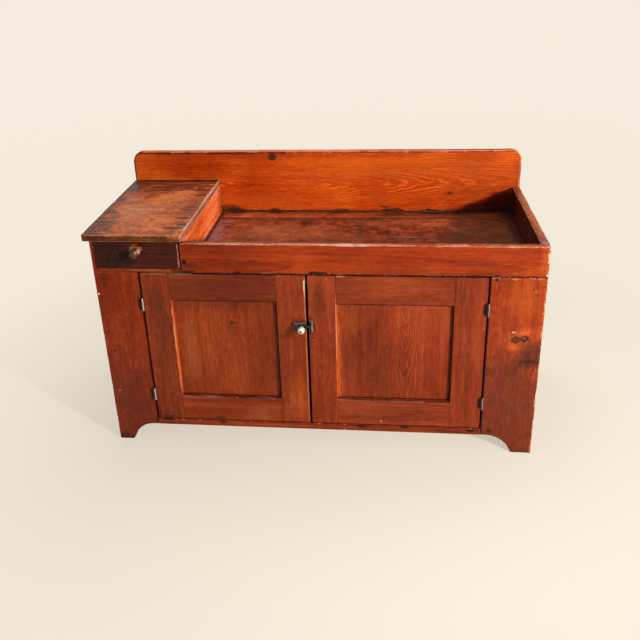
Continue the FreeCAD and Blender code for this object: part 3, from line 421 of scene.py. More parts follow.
def wornBoard(name, plane, corners, faces, seed, chips=0.0, nicks=(), step=3.0, lip=9.0, farWear=0.6):
    # An old board. Its outline is carried round a profile of rows: face, worn arris, edge, arris, back. A
    # row's point is the outline moved inwards along the mitred normal by the row's inset, which wanders by
    # noise and dips at each chip. faces are the levels of its near face and its far one.
    outline, edges, sharp = filleted(corners)
    run = np.roll(outline, -1, axis=0) - outline
    length = np.linalg.norm(run, axis=1)
    inward = np.stack([-run[:, 1], run[:, 0]], axis=1) / length[:, None]
    before = np.roll(inward, 1, axis=0)
    mitre = (before + inward) / (1 + (before * inward).sum(axis=1))[:, None]
    steps = np.maximum(1, np.ceil(length / step).astype(int))
    edge = np.repeat(np.arange(len(outline)), steps)
    part = (np.arange(len(edge)) - (np.cumsum(steps) - steps)[edge]) / steps[edge]
    following = (edge + 1) % len(outline)
    base = outline[edge] * (1 - part)[:, None] + outline[following] * part[:, None]
    lean = mitre[edge] * (1 - part)[:, None] + mitre[following] * part[:, None]
    along = (np.cumsum(length) - length)[edge] + part * length[edge]
    total = length.sum()
    window = np.ones(5) / 5
    wear, tone = (np.convolve(np.r_[row[-2:], row, row[:2]], window, "valid") for row in edges[edge].T)
    thickness = abs(faces[1] - faces[0])
    radius = wear * (0.8 + 0.30 * ripple(along, total, 90, seed) + 0.25 * ripple(along, total, 19, seed + 1))
    radius = np.clip(radius, 0.2, thickness * 0.42)
    wander = wear * (0.20 + 0.11 * ripple(along, total, 60, seed + 2)
                     + 0.05 * ripple(along, total, 11, seed + 3) + 0.04 * ripple(along, total, 6, seed + 4))
    reach = 1.2 + 1.6 * wear
    for corner, distance in ((edge, part * length[edge]), (following, (1 - part) * length[edge])):
        wander = wander + np.where(sharp[corner], 0.293 * reach * np.clip(1 - distance / reach, 0, 1) ** 2, 0)
    random = np.random.default_rng(seed + 5)
    count = int(chips * total / 1000)
    centre, width = random.uniform(0, total, count), random.uniform(1.2, 5, count) ** 1.2
    depth = random.uniform(0.1, 1, count) ** 2 * 0.9
    chip = np.zeros(len(edge))
    if count:
        gap = np.abs(along[:, None] - centre)
        gap = np.minimum(gap, total - gap)
        chip = (depth * np.exp(-(gap / width) ** 2)).max(axis=1) * np.clip(wear, 0, 2.4)
    for u, v, width, depth in nicks:
        gap = np.linalg.norm(base - (u, v), axis=1)
        chip = np.maximum(chip, depth * np.exp(-(gap / width) ** 2))
    lip = min(lip, (outline.max(axis=0) - outline.min(axis=0)).min() * 0.28)
    shade = tone + np.clip(chip, 0, 1.2) * 0.55
    rows = [(radius + lip, 0 * radius, 0.0), (radius + wander + chip * 0.8 + lip * 0.3, 0 * radius, 0.30)]
    for angle, weight in zip(np.radians([0, 22, 45, 68, 90]), (0.75, 0.95, 1.0, 1.0, 0.85)):
        rows.append((radius * (1 - math.sin(angle)) + wander + chip, radius * (1 - math.cos(angle)), weight))
    back = np.clip(radius * farWear, 0.2, thickness * 0.42)
    for share in (0.33, 0.67):
        rows.append((wander * 0.9 + chip * (0.8 - 0.5 * share),
                     radius + (thickness - radius - back) * share, 0.35))
    for angle, weight in zip(np.radians([90, 60, 30, 0]), (0.6, 0.7, 0.7, 0.5)):
        rows.append((back * (1 - math.sin(angle)) + wander * 0.8 + chip * 0.3,
                     thickness - back * (1 - math.cos(angle)), weight))
    rows.append((back + lip, thickness + 0 * radius, 0.0))
    inset, depth = (np.stack([row[column] for row in rows]) for column in (0, 1))
    weights = np.array([row[2] for row in rows])[:, None]
    first, second, across, sense = planes[plane]
    points = np.zeros((*inset.shape, 3))
    flat = base[None] + lean[None] * inset[..., None]
    points[..., first], points[..., second] = flat[..., 0], flat[..., 1]
    towards = math.copysign(1, faces[1] - faces[0])
    points[..., across] = faces[0] + towards * depth
    columns = len(edge)
    quads = gridFaces(len(rows), columns)
    caps = [np.arange(columns), (len(rows) * columns - 1) - np.arange(columns)]
    if sense * -towards < 0:
        quads, caps = quads[:, ::-1], [cap[::-1] for cap in caps]
    faceList = quads.tolist() + [cap.tolist() for cap in caps]
    return meshPiece(name, toFrame(points.reshape(-1, 3)), faceList, (weights * shade[None]).ravel())


def edgesOf(low, high, bottom, right, top, left):
    # a rectangle's four corners, each with the wear and tone of the edge that leaves it
    return [(low[0], low[1], 0, *bottom), (high[0], low[1], 0, *right),
            (high[0], high[1], 0, *top), (low[0], high[1], 0, *left)]


def dress(piece, material):
    # one material over the whole mesh
    piece.data.materials.clear()
    piece.data.materials.append(material)


def fit(piece, material, body, replaced):
    # a finished piece in place of a CAD node
    dress(piece, material)
    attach(piece, body)
    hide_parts(replaced)


print("helpers ready")

# case
# wear and tone of an edge: one that butts against its neighbour, the apron's rim, whose pale tone is partly a
# painted highlight, and the feet
snug, rimWearAndSheen, footWear = (0.45, -0.35), (2.0, 0.55), (2.2, -0.8)
bareInside = {"y": (21.3, 40)}      # the finish stops short of the inner side of the 22 mm boards


def plainBoard(node, plane, timber, grain, seed, edges, body="cabinet", slotName="pine_case", spans=None,
               nearIsHigh=False, **look):
    # a rectangular board in its node's box; spans gives other corners of the rectangle
    low, high = caseBox(node)
    first, second, across, _ = planes[plane]
    lowCorner, highCorner = spans or (low[[first, second]], high[[first, second]])
    faces = (high[across], low[across]) if nearIsHigh else (low[across], high[across])
    shape = {key: look.pop(key) for key in ("chips", "nicks", "step") if key in look}
    piece = wornBoard("worn_" + node, plane, edgesOf(lowCorner, highCorner, *edges), faces, seed, **shape)
    material = woodMaterial(node + "_wood", timber, grain, "xyz"[across], middleOf(node), seed, **look)
    fit(piece, material, body, node)


plainBoard("front_apron", "front", "front", "x", 11,
    [(0.6, -0.9), (1.6, 0.5), rimWearAndSheen, (1.0, -0.4)], chips=26,
    nicks=[(382, 742, 9, 1.6), (520, 742, 7, 1.2), (684, 742, 8, 1.8)],
    rings=dict(spacing=9, pith=(-30, 55), tilt=(0.012, 0.02), wave=26), scratches=0.35, redness=0.45,
    marks=spots("y", 0, 20, (-385, 672, 22, 9, "brown", 0.6, 1.4), (-403, 680, 9, 9, "black", 0.99, 0.15),
        (694, 741, 9, 3, "steel", 0.9, 1.4, 12, 3), (699, 736, 4, 8, "pale", 0.8, 1.3, 8),
        (600, 740.5, 95, 2.2, "tan", 0.6, 3.0, 12), (-1, 648, 20, 7, "black", 0.9, 0.9),
        (30, 647, 12, 5, "black", 0.8, 0.9), (-236, 646, 12, 6, "black", 0.85, 0.8),
        (-400, 646, 34, 6, "black", 0.8, 0.9), (551, 645, 11, 6, "black", 0.8, 0.7),
        # painted highlight along the top arris: the bone and pink marks at z 742 brighten it over its real
        # wear
        (110, 742, 100, 4, "bone", 0.98, 0.4, 10, 2), (60, 742, 230, 3, "pink", 0.8, 0.8, 8, 4),
        (420, 742, 55, 3, "pink", 0.7, 1.2, 14), (-250, 742, 160, 3, "pink", 0.6, 1.0, 14),
        (690, 700, 16, 60, "orange", 0.4, 0.9), (-380, 740, 60, 7, "brown", 0.5, 1.0, 14)),
    # painted shade: the black line along the bottom edge darkens it over the gap above the doors; the grey
    # broken line on that edge is a painted highlight
    tint=(1.04, 0.98, 0.72), unrest=0.8, lines=[("z", 643, 4, "black", 0.85)],
    chipped=[("yz", (0, 742), 3.5, "pale", 0.5), ("xy", (700, 0), 7, "pale", 0.9),
        ("yz", (0, 643), 4, "grey", 0.6)])


def hingeBarrelShadow(x, hand):
    # painted shadow of each hinge barrel: a black patch on the wood to the left of the barrel
    heights = [caseBox(f"{hand}_{level}_hinge_moving_leaf") for level in ("upper", "lower")]
    return [((x, 0, (low[2] + high[2]) / 2), (8, 10, 20), "black", 0.92, None) for low, high in heights]


# left: foot 50 wide, run of 31 up to the clearance; right: foot 65 wide
stileParts = {
    "left_face_stile": dict(
        corners=[(-700, 0, 0, *footWear), (-650, 0, 0, 1.2, -0.4), (-619, 67, 77, 1.2, -0.3),
            (-555.5, 67, 0, *snug), (-555.5, 642.4, 0, *snug), (-688, 642.4, 0, 0.4, -0.3),
            (-688, 747.4, 0, 0.4, -0.2), (-700, 747.4, 0, 1.7, -0.3)], centre=(-628, 11, 340), seed=23,
        look=dict(tint=(0.9, 0.88, 0.9), raw=bareInside, lines=[("x", -555.5, 4, "black", 0.7)],
            unrest=0.9, chipped=[("yz", (0, 642.4), 4, "tan", 0.5), ("xy", (-700, 0), 3, "tan", 0.3)],
            rings=dict(spacing=8, pith=(-25, 60), tilt=(0.01, 0.035), wave=34),
            marks=[
                *spots("y", 0, 20, (-640, 220, 90, 260, "grey", 0.04, 0.3),
                    (-694, 565, 4, 3.5, "pale", 0.9, 0.4, 6), (-671, 355, 7, 3.5, "black", 0.85, 0.8, 8),
                    (-675, 200, 5, 4, "tan", 0.7, 1.0, 8), (-553, 80, 9, 14, "black", 0.9, 0.6),
                    (-690, 12, 40, 16, "brown", 0.7, 0.7), (-640, 120, 110, 210, "brown", 0.42, 0.7)),
                # painted shadows of the left hinge barrels
                *hingeBarrelShadow(-561, "left")])),
    "right_face_stile": dict(
        corners=[(533.5, 67, 0, 1.2, -0.3), (604, 67, 87, 1.2, -0.4), (635, 0, 0, *footWear),
            (700, 0, 0, 1.5, 0.45), (700, 642.4, 0, *snug), (533.5, 642.4, 0, *snug)],
        centre=(617, 11, 320), seed=31,
        look=dict(tint=(0.96, 0.93, 0.95), raw=bareInside,
            rings=dict(spacing=6, pith=(20, 58), tilt=(-0.02, 0.03), wave=40),
            lines=[("x", 533.5, 5, "black", 0.75), ("z", 642.4, 4, "black", 0.6)],
            chipped=[("xy", (700, 0), 10, "orange", 0.6), ("xy", (700, 0), 6, "tan", 0.8),
                ("xy", (700, 0), 2.8, "pale", 0.9), ("yz", (0, 640), 6, "tan", 0.5)],
            knots=[((621, 0, 429), 16), ((646, 0, 433), 13)], unrest=0.9,
            marks=spots("y", 0, 20, (600, 190, 150, 260, "grey", 0.06, 0.3),
                (634, 424, 46, 36, "orange", 0.4, 1.3), (652, 456, 34, 15, "orange", 0.48, 1.0, 14),
                (612, 404, 16, 18, "orange", 0.48, 1.0, 14), (604, 436, 6, 16, "amber", 0.45, 1.2, 14),
                (621, 428, 21, 15, "brown", 0.94, 1.0), (622, 430, 6, 4, "red", 0.8, 0.9),
                (647, 433, 16, 13, "brown", 0.94, 0.9), (647, 434, 5, 3, "orange", 0.6, 0.8),
                (640, 408, 16, 26, "brown", 0.45, 0.8), (612, 455, 7, 4, "pale", 0.7, 2.0, 14),
                (603, 451, 4, 3, "tan", 0.7, 1.6, 14), (640, 452, 14, 3, "amber", 0.45, 2.0, 14),
                (634, 398, 26, 12, "orange", 0.35, 1.2, 14), (672, 351, 50, 11, "black", 0.49, 0.4),
                (686, 372, 60, 56, "brown", 0.72, 0.5), (680, 351, 44, 5, "black", 0.5, 0.7),
                (640, 330, 60, 40, "brown", 0.3, 1.0), (551, 635, 5.5, 7, "black", 0.97, 0.4, 14),
                (675, 582, 4, 4, "black", 0.9, 0.3, 10), (607, 636, 14, 3, "tan", 0.6, 1.6, 10),
                (662, 602, 3.5, 5, "black", 0.7, 0.8, 10), (668, 596, 3, 6, "orange", 0.6, 0.8, 10),
                (561, 84, 9, 7, "black", 0.85, 0.6, 12), (668, 8, 50, 14, "brown", 0.4, 0.8),
                (640, 560, 50, 70, "orange", 0.25, 0.8), (610, 130, 160, 250, "brown", 0.55, 0.7))))}
for node, part in stileParts.items():
    piece = wornBoard("worn_" + node, "front", part["corners"], (0, 22), part["seed"], chips=14, lip=3.5)
    material = woodMaterial(node + "_wood", "front", "z", "y", part["centre"], part["seed"],
                            scratches=0.25, figure=0.5, stains=0.3, **part["look"])
    fit(piece, material, "cabinet", node)

# the first of faces shows more of its arris; the right board's top edge is the rim at the well's end
sideParts = {
    "left_side_board": dict(top=748, faces=(-700, -675), seed=41, topWear=snug,
        look=dict(raw={"x": (-676, -600), "z": (0, 748)},
            marks=spots("x", -700, 9, (200, 20, 260, 60, "brown", 0.5, 0.9),
                (470, 300, 80, 300, "brown", 0.4, 0.9)), chipped=[("xy", (-700, 555), 5, "tan", 0.6)])),
    "right_side_board": dict(top=742, faces=(675, 700), seed=47, topWear=(2.2, 0.15),
        look=dict(raw={"x": (600, 676), "z": (0, 641)},
            # painted shade: the oxblood and black marks at x 675 darken the inner face, which the key lamp
            # doesn't reach
            marks=[((675, 290, 690), (9, 420, 90), "oxblood", 0.99, 0.2),
                ((675, 250, 690), (9, 420, 90), "black", 0.3, 0.2),
                ((675, 60, 690), (9, 90, 70), "black", 0.5, 0.4),
                ((675, 500, 690), (9, 60, 70), "black", 0.5, 0.4),
                ((687, 60, 742), (16, 70, 3), "grey", 0.1, 1.0),
                # painted sheen: the amber and orange marks along the rim's top
                ((690, 300, 742), (12, 260, 3), "amber", 0.5, 1.8),
                ((690, 240, 742), (14, 200, 3), "orange", 0.3, 0.9),
                ((688, 30, 742), (16, 12, 5), "steel", 0.6, 1.5),
                ((700, 200, 20), (9, 260, 60), "brown", 0.5, 0.9),
                ((700, 480, 300), (9, 70, 300), "brown", 0.4, 0.9),
                ((700, 300, 600), (9, 200, 60), "orange", 0.2, 0.9)],
            # the black line in the corner between the inner face and the well floor is painted shade
            lines=[("xz", (675, 643), 8, "black", 0.8), ("xz", (675, 742), 2.5, "pink", 0.7)],
            chipped=[("xz", (700, 742), 9, "tan", 0.9), ("xz", (700, 742), 4, "pale", 0.9),
                ("xy", (700, 555), 5, "tan", 0.6)]))}
for node, part in sideParts.items():
    corners = [(22, 0, 0, *footWear), (107, 0, 0, 1.0, -0.4), (138, 67, 60, 1.0, -0.4),
               (439, 67, 60, 1.0, -0.4), (470, 0, 0, *footWear), (555, 0, 0, *snug),
               (555, part["top"], 0, *part["topWear"]), (22, part["top"], 0, *snug)]
    piece = wornBoard("worn_" + node, "side", corners, part["faces"], part["seed"], chips=16, farWear=1.0)
    material = woodMaterial(node + "_wood", "front", "z", "x", (part["faces"][0], 280, 370), part["seed"],
                            scratches=0.3, rings=dict(spacing=8, pith=(30, 80), tilt=(0.02, 0.04), wave=36),
                            **part["look"])
    fit(piece, material, "cabinet", node)

plainBoard("till_side_board", "side", "divider", "y", 53, [snug] * 4, nearIsHigh=True,
    rings=dict(spacing=6, pith=(60, 70), tilt=(0.02, 0.02), wave=16), scratches=0.4, unrest=1.8, figure=1.3,
    marks=spots("x", -406, 20, (60, 650, 60, 9, "brown", 0.5, 0.9), (540, 700, 40, 60, "red", 0.5, 0.8)),
    lines=[("y", 555, 7, "brown", 0.7)], raw={"x": (-440, -430)},
    # painted highlights: the pink broken lines along the bottom and top arrises
    chipped=[("z", 643, 7, "pink", 0.8), ("z", 747, 9, "pink", 0.7)])
print("case made")

# splash board and backs
splash = {
    "corners": [(-731, 648, 0, 1.6, -0.4), (700, 648, 0, 1.7, 0.1), (700, 880, 40, 3.0, 0.72),
                (-731, 880, 40, 2.8, -1.3)],
    "faces": (555, 577), "centre": (-15, 566, 764), "seed": 61,
}
piece = wornBoard("worn_splash_board", "front", splash["corners"], splash["faces"], splash["seed"],
    chips=22)
material = woodMaterial("splash_board_wood", "splash", "x", "y", splash["centre"], splash["seed"],
    scratches=0.2, redness=0.3, tint=(1.08, 1.06, 0.98),
    # the black line along the bottom edge is painted shade over the gap above the well floor
    lines=[("x", -731, 8, "brown", 0.9), ("xy", (700, 577), 5, "brown", 0.8), ("z", 648, 2.5, "black", 0.6),
        ("z", 874, 3, "brown", 0.55)], chipped=[("yz", (555, 648), 5, "tan", 0.4)], figure=0.75,
    flame=0.42, raw={"y": (576.3, 600)},
    rings=dict(spacing=7, pith=(-15, 34), tilt=(0.016, 0.05), wave=40, curl=13),
    knots=[((452, 555, 718), 12)],
    marks=spots("y", 555, 14, (-201, 858, 17, 16, "brown", 0.96, 0.15),
        # the pink strip at x 696 is a painted highlight on the right end's rounded edge
        (450, 880, 330, 7, "red", 0.55, 1.4, 16, 566), (696, 760, 2.2, 100, "pink", 0.6, 1.6, 5, 554),
        (-620, 800, 150, 90, "red", 0.16, 0.8), (-300, 866, 480, 16, "red", 0.35, 1.2),
        (452, 718, 10, 8, "black", 0.9, 0.7), (452, 716, 26, 15, "red", 0.45, 0.9),
        # the marks along the foot, down to z 664, are the dark gap above the well floor: painted shade with
        # dirt and pale flecks in it
        (235, 652, 46, 8, "black", 0.9, 1.6), (215, 664, 22, 4, "brown", 0.8, 1.6),
        (-380, 658, 60, 14, "brown", 0.85, 1.0), (-345, 650, 40, 8, "black", 0.9, 0.8),
        (-200, 650, 26, 9, "black", 0.9, 1.2), (50, 649, 30, 7, "black", 0.9, 1.3),
        (-275, 651, 6, 2.2, "tan", 0.8, 0.8), (-232, 649, 4, 2, "tan", 0.8, 0.8),
        (385, 646, 46, 9, "black", 0.95, 1.4), (560, 650, 90, 7, "black", 0.7, 1.1),
        (-400, 873, 330, 5, "brown", 0.7, 1.0), (250, 800, 420, 50, "orange", 0.35, 0.8),
        (690, 790, 12, 60, "red", 0.4, 0.9), (560, 780, 190, 90, "orange", 0.26, 0.6),
        # the two oxblood marks at the lower right are the painted shadow of the right side board's rim
        (-220, 690, 220, 40, "orange", 0.3, 0.8), (655, 668, 90, 60, "oxblood", 0.9, 0.5),
        (600, 655, 130, 30, "oxblood", 0.8, 0.5)))
fit(piece, material, "cabinet", "splash_board")

# damp has darkened the lower board's foot, and the upper one has paled
backWear = {
    "upper_back_board": dict(tint=(1.02, 1.0, 0.95),
        marks=[((300, 577, 560), (240, 9, 50), "grey", 0.3, 1.0)]),
    "lower_back_board": dict(tint=(0.86, 0.82, 0.8),
        marks=spots("y", 577, 9, (0, 85, 760, 50, "brown", 0.5, 1.1),
            (-420, 250, 90, 60, "brown", 0.3, 1.0)))}
for node, seed in (("upper_back_board", 67), ("lower_back_board", 71)):
    plainBoard(node, "front", "bare", "x", seed, [(1.0, -0.4)] * 4, slotName="pine_bare", nearIsHigh=True,
               chips=8, step=5.0, rings=dict(spacing=10, pith=(20, 60), tilt=(0.01, 0.03), wave=40),
               # painted shade: brown on the face where it shows through the gap under the splash board
               lines=[("yz", (555, 645), 16, "brown", 0.85)], **backWear[node])
print("back made")

# well floor and bottom
plainBoard("well_floor_front_board", "flat", "floor", "x", 73, [snug, snug, (1.2, -0.9), snug],
    nearIsHigh=True, slotName="pine_floor", chips=10, scratches=0.55, redness=0.6,
    rings=dict(spacing=14, pith=(40, -70), tilt=(0.02, 0.03), wave=50), unrest=1.35, stains=1.0,
    raw={"z": (600, 621.5)},
    marks=spots("z", 643, 12, (-180, 340, 170, 110, "amber", 0.42, 1.0),
        (-76, 435, 13, 34, "black", 0.55, 1.1), (60, 300, 120, 60, "amber", 0.3, 1.2),
        (-120, 180, 150, 40, "pink", 0.16, 1.2), (292, 310, 50, 3, "pale", 0.28, 1.8),
        # painted sheen: the grey patches at x -380 and -330 beside the divider; the ink strip at x -398 is
        # painted shade at the divider's foot
        (560, 300, 150, 220, "olive", 0.72, 0.8), (-380, 230, 30, 250, "grey", 0.6, 2.0),
        (-398, 240, 7, 260, "ink", 0.8, 1.0), (-330, 150, 60, 120, "grey", 0.26, 1.0),
        (350, 200, 260, 150, "plum", 0.42, 0.9), (-20, 470, 300, 26, "plum", 0.45, 1.0),
        (150, 60, 500, 40, "brown", 0.5, 0.9), (60, 250, 180, 70, "red", 0.35, 0.8),
        (250, 440, 200, 34, "amber", 0.22, 0.9)),
    # painted shade: black along the floor's corners with the right side board, the apron and the divider
    lines=[("x", 675, 40, "black", 0.7), ("y", 22, 14, "black", 0.7), ("x", -406, 8, "black", 0.7)])
plainBoard("well_floor_rear_board", "flat", "floor", "x", 79, [(1.2, -0.9), snug, snug, snug],
    nearIsHigh=True, slotName="pine_floor", chips=10, tint=(1.55, 1.9, 1.3), scratches=0.4, stains=0.7,
    raw={"z": (600, 621.5)}, rings=dict(spacing=10, pith=(10, -60), tilt=(0.01, 0.02), wave=30),
    # the black marks along the back edge and the black lines are painted shade of the gap against the splash
    # board and of the corners, with dirt in them
    marks=spots("z", 643, 12, (0, 553, 680, 5, "black", 0.6, 1.2), (470, 550, 230, 14, "black", 0.75, 1.8),
        (480, 530, 260, 40, "olive", 0.5, 0.9), (-345, 548, 50, 10, "black", 0.85, 0.8),
        (-195, 546, 32, 12, "black", 0.85, 0.8), (60, 549, 40, 8, "black", 0.8, 0.9),
        (395, 546, 50, 12, "black", 0.85, 0.9), (240, 520, 70, 16, "brown", 0.5, 1.0)),
    lines=[("y", 555, 5, "black", 0.6), ("x", 675, 60, "black", 0.8), ("x", -406, 20, "black", 0.6)])

flatParts = {
    "bottom_board": dict(
        corners=[(-675, 22.5, 0, *snug), (-555.5, 22.5, 0, *snug), (-555.5, 0, 0, 1.3, 0.25),
            (533.5, 0, 0, *snug), (533.5, 22.5, 0, *snug), (675, 22.5, 0, *snug), (675, 555, 0, *snug),
            (-675, 555, 0, *snug)], faces=(90, 67), centre=(0, 280, 78), seed=83, raw={"y": (22, 560)},
        marks=spots("y", 0, 12, (145, 84, 17, 5, "black", 0.9, 1.3), (288, 86, 15, 5, "black", 0.85, 1.3),
            (500, 83, 17, 5, "black", 0.9, 1.2), (-325, 83, 12, 6, "brown", 0.9, 1.2),
            (-518, 87, 30, 4, "black", 0.9, 0.8), (420, 76, 60, 7, "brown", 0.5, 1.0),
            (-150, 78, 160, 5, "orange", 0.35, 1.0))),
    "till_floor": dict(
        corners=[(-687.4, 0, 0, 1.4, 0.35), (-414.6, 0, 0, *snug), (-414.6, 22, 0, *snug),
            (-431, 22, 0, *snug), (-431, 555, 0, *snug), (-675, 555, 0, *snug), (-675, 22, 0, *snug),
            (-687.4, 22, 0, *snug)], faces=(654, 643), centre=(-550, 280, 648), seed=89,
        raw={"y": (22, 560)},
        marks=spots("y", 0, 14, (-430, 650, 20, 8, "brown", 0.7, 0.8),
            (-520, 652, 60, 4, "tan", 0.4, 1.0)))}
for node, part in flatParts.items():
    piece = wornBoard("worn_" + node, "flat", part["corners"], part["faces"], part["seed"], chips=18,
        lip=5.0)
    material = woodMaterial(node + "_wood", "front", "x", "z", part["centre"], part["seed"],
        marks=part["marks"], tint=(0.85, 0.95, 1.1), raw=part["raw"],
        rings=dict(spacing=8, pith=(20, 60), tilt=(0.01, 0.02), wave=30))
    fit(piece, material, "cabinet", node)
print("floors made")

# till lid and drawer
lid = {
    "corners": [(-722, -5, 7, 2.4, 0.0), (-406, -5, 0, 1.8, 0.4), (-406, 555, 0, 1.2, -0.6),
        (-733, 555, 0, 2.8, -0.4)], "faces": (770, 748), "centre": (-565, 275, 765), "seed": 97,
    "nails": [(-711, 108), (-706, 192), (-716, 211), (-716, 323), (-722, 433), (-429, 60), (-417, 86),
        (-424, 149), (-423, 224), (-420, 254), (-424, 367), (-425, 434), (-418, 480)]}
piece = wornBoard("worn_till_top", "flat", lid["corners"], lid["faces"], lid["seed"], chips=20, farWear=1.0,
    lip=3, nicks=[(-660, -5, 8, 1.4), (-590, -5, 12, 1.1), (-500, -5, 7, 1.5), (-722, 20, 10, 1.6)])
# each nail's rust has run along the grain, one way more than the other
nailStains = spots("z", 770, 8, *(
    (x + (9 if x < -560 else -11), y, 23 + 6 * (index % 3), 6 + index % 2 * 2, "ink", 0.95, 1.2)
    for index, (x, y) in enumerate(lid["nails"])))
material = woodMaterial("till_top_wood", "lid", "x", "z", lid["centre"], lid["seed"], scratches=0.7,
    stains=1.0, raw={"z": (740, 748.6)},
    rings=dict(spacing=8, pith=(40, -60), tilt=(0.02, 0.03), wave=40, curl=6),
    marks=spots("z", 770, 8, (-600, 200, 120, 150, "amber", 0.4, 0.8, 20),
        (-610, 220, 70, 70, "tan", 0.32, 1.2, 20), (-500, 330, 50, 60, "tan", 0.25, 1.4, 20),
        (-560, 530, 190, 100, "red", 0.4, 1.0, 20), (-560, 560, 190, 110, "brown", 0.76, 1.2, 20),
        (-406, 275, 7, 330, "bone", 0.24, 1.0, 14, 759), (-460, 545, 56, 15, "ink", 0.9, 1.4, 10),
        (-650, 548, 60, 12, "ink", 0.8, 1.5, 10), (-520, 515, 70, 7, "orange", 0.5, 1.8),
        (-640, 480, 50, 6, "orange", 0.5, 1.8), (-470, 395, 44, 8, "orange", 0.4, 1.8),
        (-600, 420, 90, 14, "plum", 0.55, 1.8), (-650, 300, 36, 26, "plum", 0.35, 1.6),
        (-680, 110, 40, 70, "brown", 0.55, 1.6), (-560, 455, 110, 36, "brown", 0.55, 1.6, 20),
        (-470, 470, 60, 30, "red", 0.5, 1.4, 20), (-700, 480, 50, 110, "plum", 0.75, 1.5, 20),
        (-706, 40, 44, 80, "ink", 0.65, 2.0, 12), (-722, 250, 26, 330, "plum", 0.75, 1.7, 14, 768),
        (-536, 133, 7, 7, "black", 0.9, 0.3), (-520, 418, 70, 2.5, "pale", 0.45, 1.8),
        (-470, 450, 3, 3, "pale", 0.8, 0.2, 5), (-610, 232, 60, 3, "pale", 0.4, 2.0),
        (-440, 300, 34, 290, "red", 0.45, 1.2, 14), (-560, 18, 150, 20, "red", 0.3, 1.0, 14),
        (-406, 280, 4, 300, "grey", 0.75, 1.6, 9, 759), (-406, 280, 3, 300, "plum", 0.6, 2.4, 4, 757),
        (-406, 250, 4, 300, "pink", 0.6, 2.4, 3, 764), (-565, -5.5, 220, 3, "brown", 0.8, 0.6, 16, 759))
    + nailStains,
    lines=[("y", 555, 8, "black", 0.85), ("yz", (555, 770), 2.5, "steel", 0.7), ("x", -411, 3, "plum", 0.5),
        ("xz", (-406, 770), 3, "pink", 0.55), ("xz", (-406, 748), 3.4, "pink", 0.7),
        # the ochre line on the front's lower arris is a painted highlight
        ("yz", (-5, 770), 3, "tan", 0.6), ("yz", (-5, 748), 2.6, "ochre", 0.7)],
    chipped=[("yz", (-5, 770), 4, "tan", 0.8), ("xz", (-406, 770), 5, "pale", 0.95),
        ("xz", (-406, 770), 9, "pink", 0.8), ("x", -406, 4, "pink", 0.6)])
fit(piece, material, "cabinet", "till_top")

# specks in rows and columns that step unevenly
drawerSpecks = [(-672 + 9 * (speck * 5 % 7), 692 + 5 * (speck * 3 % 7), 1.3, 1.1, "pale", 0.5, 0.2, 3)
                for speck in range(7)]
plainBoard("drawer_front", "front", "drawer", "x", 101, [(0.8, -0.3), (1.8, 0.9), (0.7, -0.3), (1.0, 0.2)],
    body="drawer", slotName="pine_drawer", chips=14, scratches=0.25, redness=0.3,
    rings=dict(spacing=8, pith=(10, 50), tilt=(0.02, 0.03), wave=24), raw={"y": (21, 40)}, unrest=0.75,
    figure=0.6,
    marks=spots("y", -3, 10, (-553, 724, 19, 12, "ochre", 0.85, 1.4), *drawerSpecks,
        (-665, 705, 14, 22, "red", 0.4, 1.2), (-676, 690, 7, 30, "red", 0.5, 1.0),
        # the black mark at x -585 is the knob's painted shadow
        (-585, 690, 30, 22, "black", 0.6, 0.8), (-550, 657, 130, 4, "brown", 0.7, 1.0),
        (-650, 700, 70, 60, "black", 0.6, 0.9)),
    lines=[("yz", (-3, 655), 3.5, "red", 0.7), ("xy", (-686, -3), 3.5, "red", 0.5)])


def spun(name, profile, centre, columns=48):
    # a turned piece about an axis along y: profile rows of (distance forward, radius), each a ring of points
    forward, radius = np.array(profile, float).T
    turn = np.linspace(0, 2 * math.pi, columns, endpoint=False)
    points = np.zeros((len(forward), columns, 3))
    points[..., 0] = centre[0] + radius[:, None] * np.cos(turn)
    points[..., 1] = centre[1] - forward[:, None]
    points[..., 2] = centre[2] + radius[:, None] * np.sin(turn)
    quads = gridFaces(len(forward), columns)[:, ::-1]
    caps = [np.arange(columns)[::-1].tolist(), ((len(forward) - 1) * columns + np.arange(columns)).tolist()]
    return meshPiece(name, toFrame(points.reshape(-1, 3)), quads.tolist() + caps)


def curve(stations, count):
    # a smooth line through (distance, radius) stations: each point by Catmull-Rom from the four about it
    given = np.array(stations, float)
    padded = np.vstack([2 * given[0] - given[1], given, 2 * given[-1] - given[-2]])
    at = np.linspace(0, len(given) - 1 - 1e-6, count)
    low, t = np.floor(at).astype(int), (at % 1)[:, None]
    p0, p1, p2, p3 = (padded[low + shift] for shift in range(4))
    return 0.5 * (2 * p1 + (p2 - p0) * t + (2 * p0 - 5 * p1 + 4 * p2 - p3) * t ** 2
                  + (3 * p1 - p0 - 3 * p2 + p3) * t ** 3)


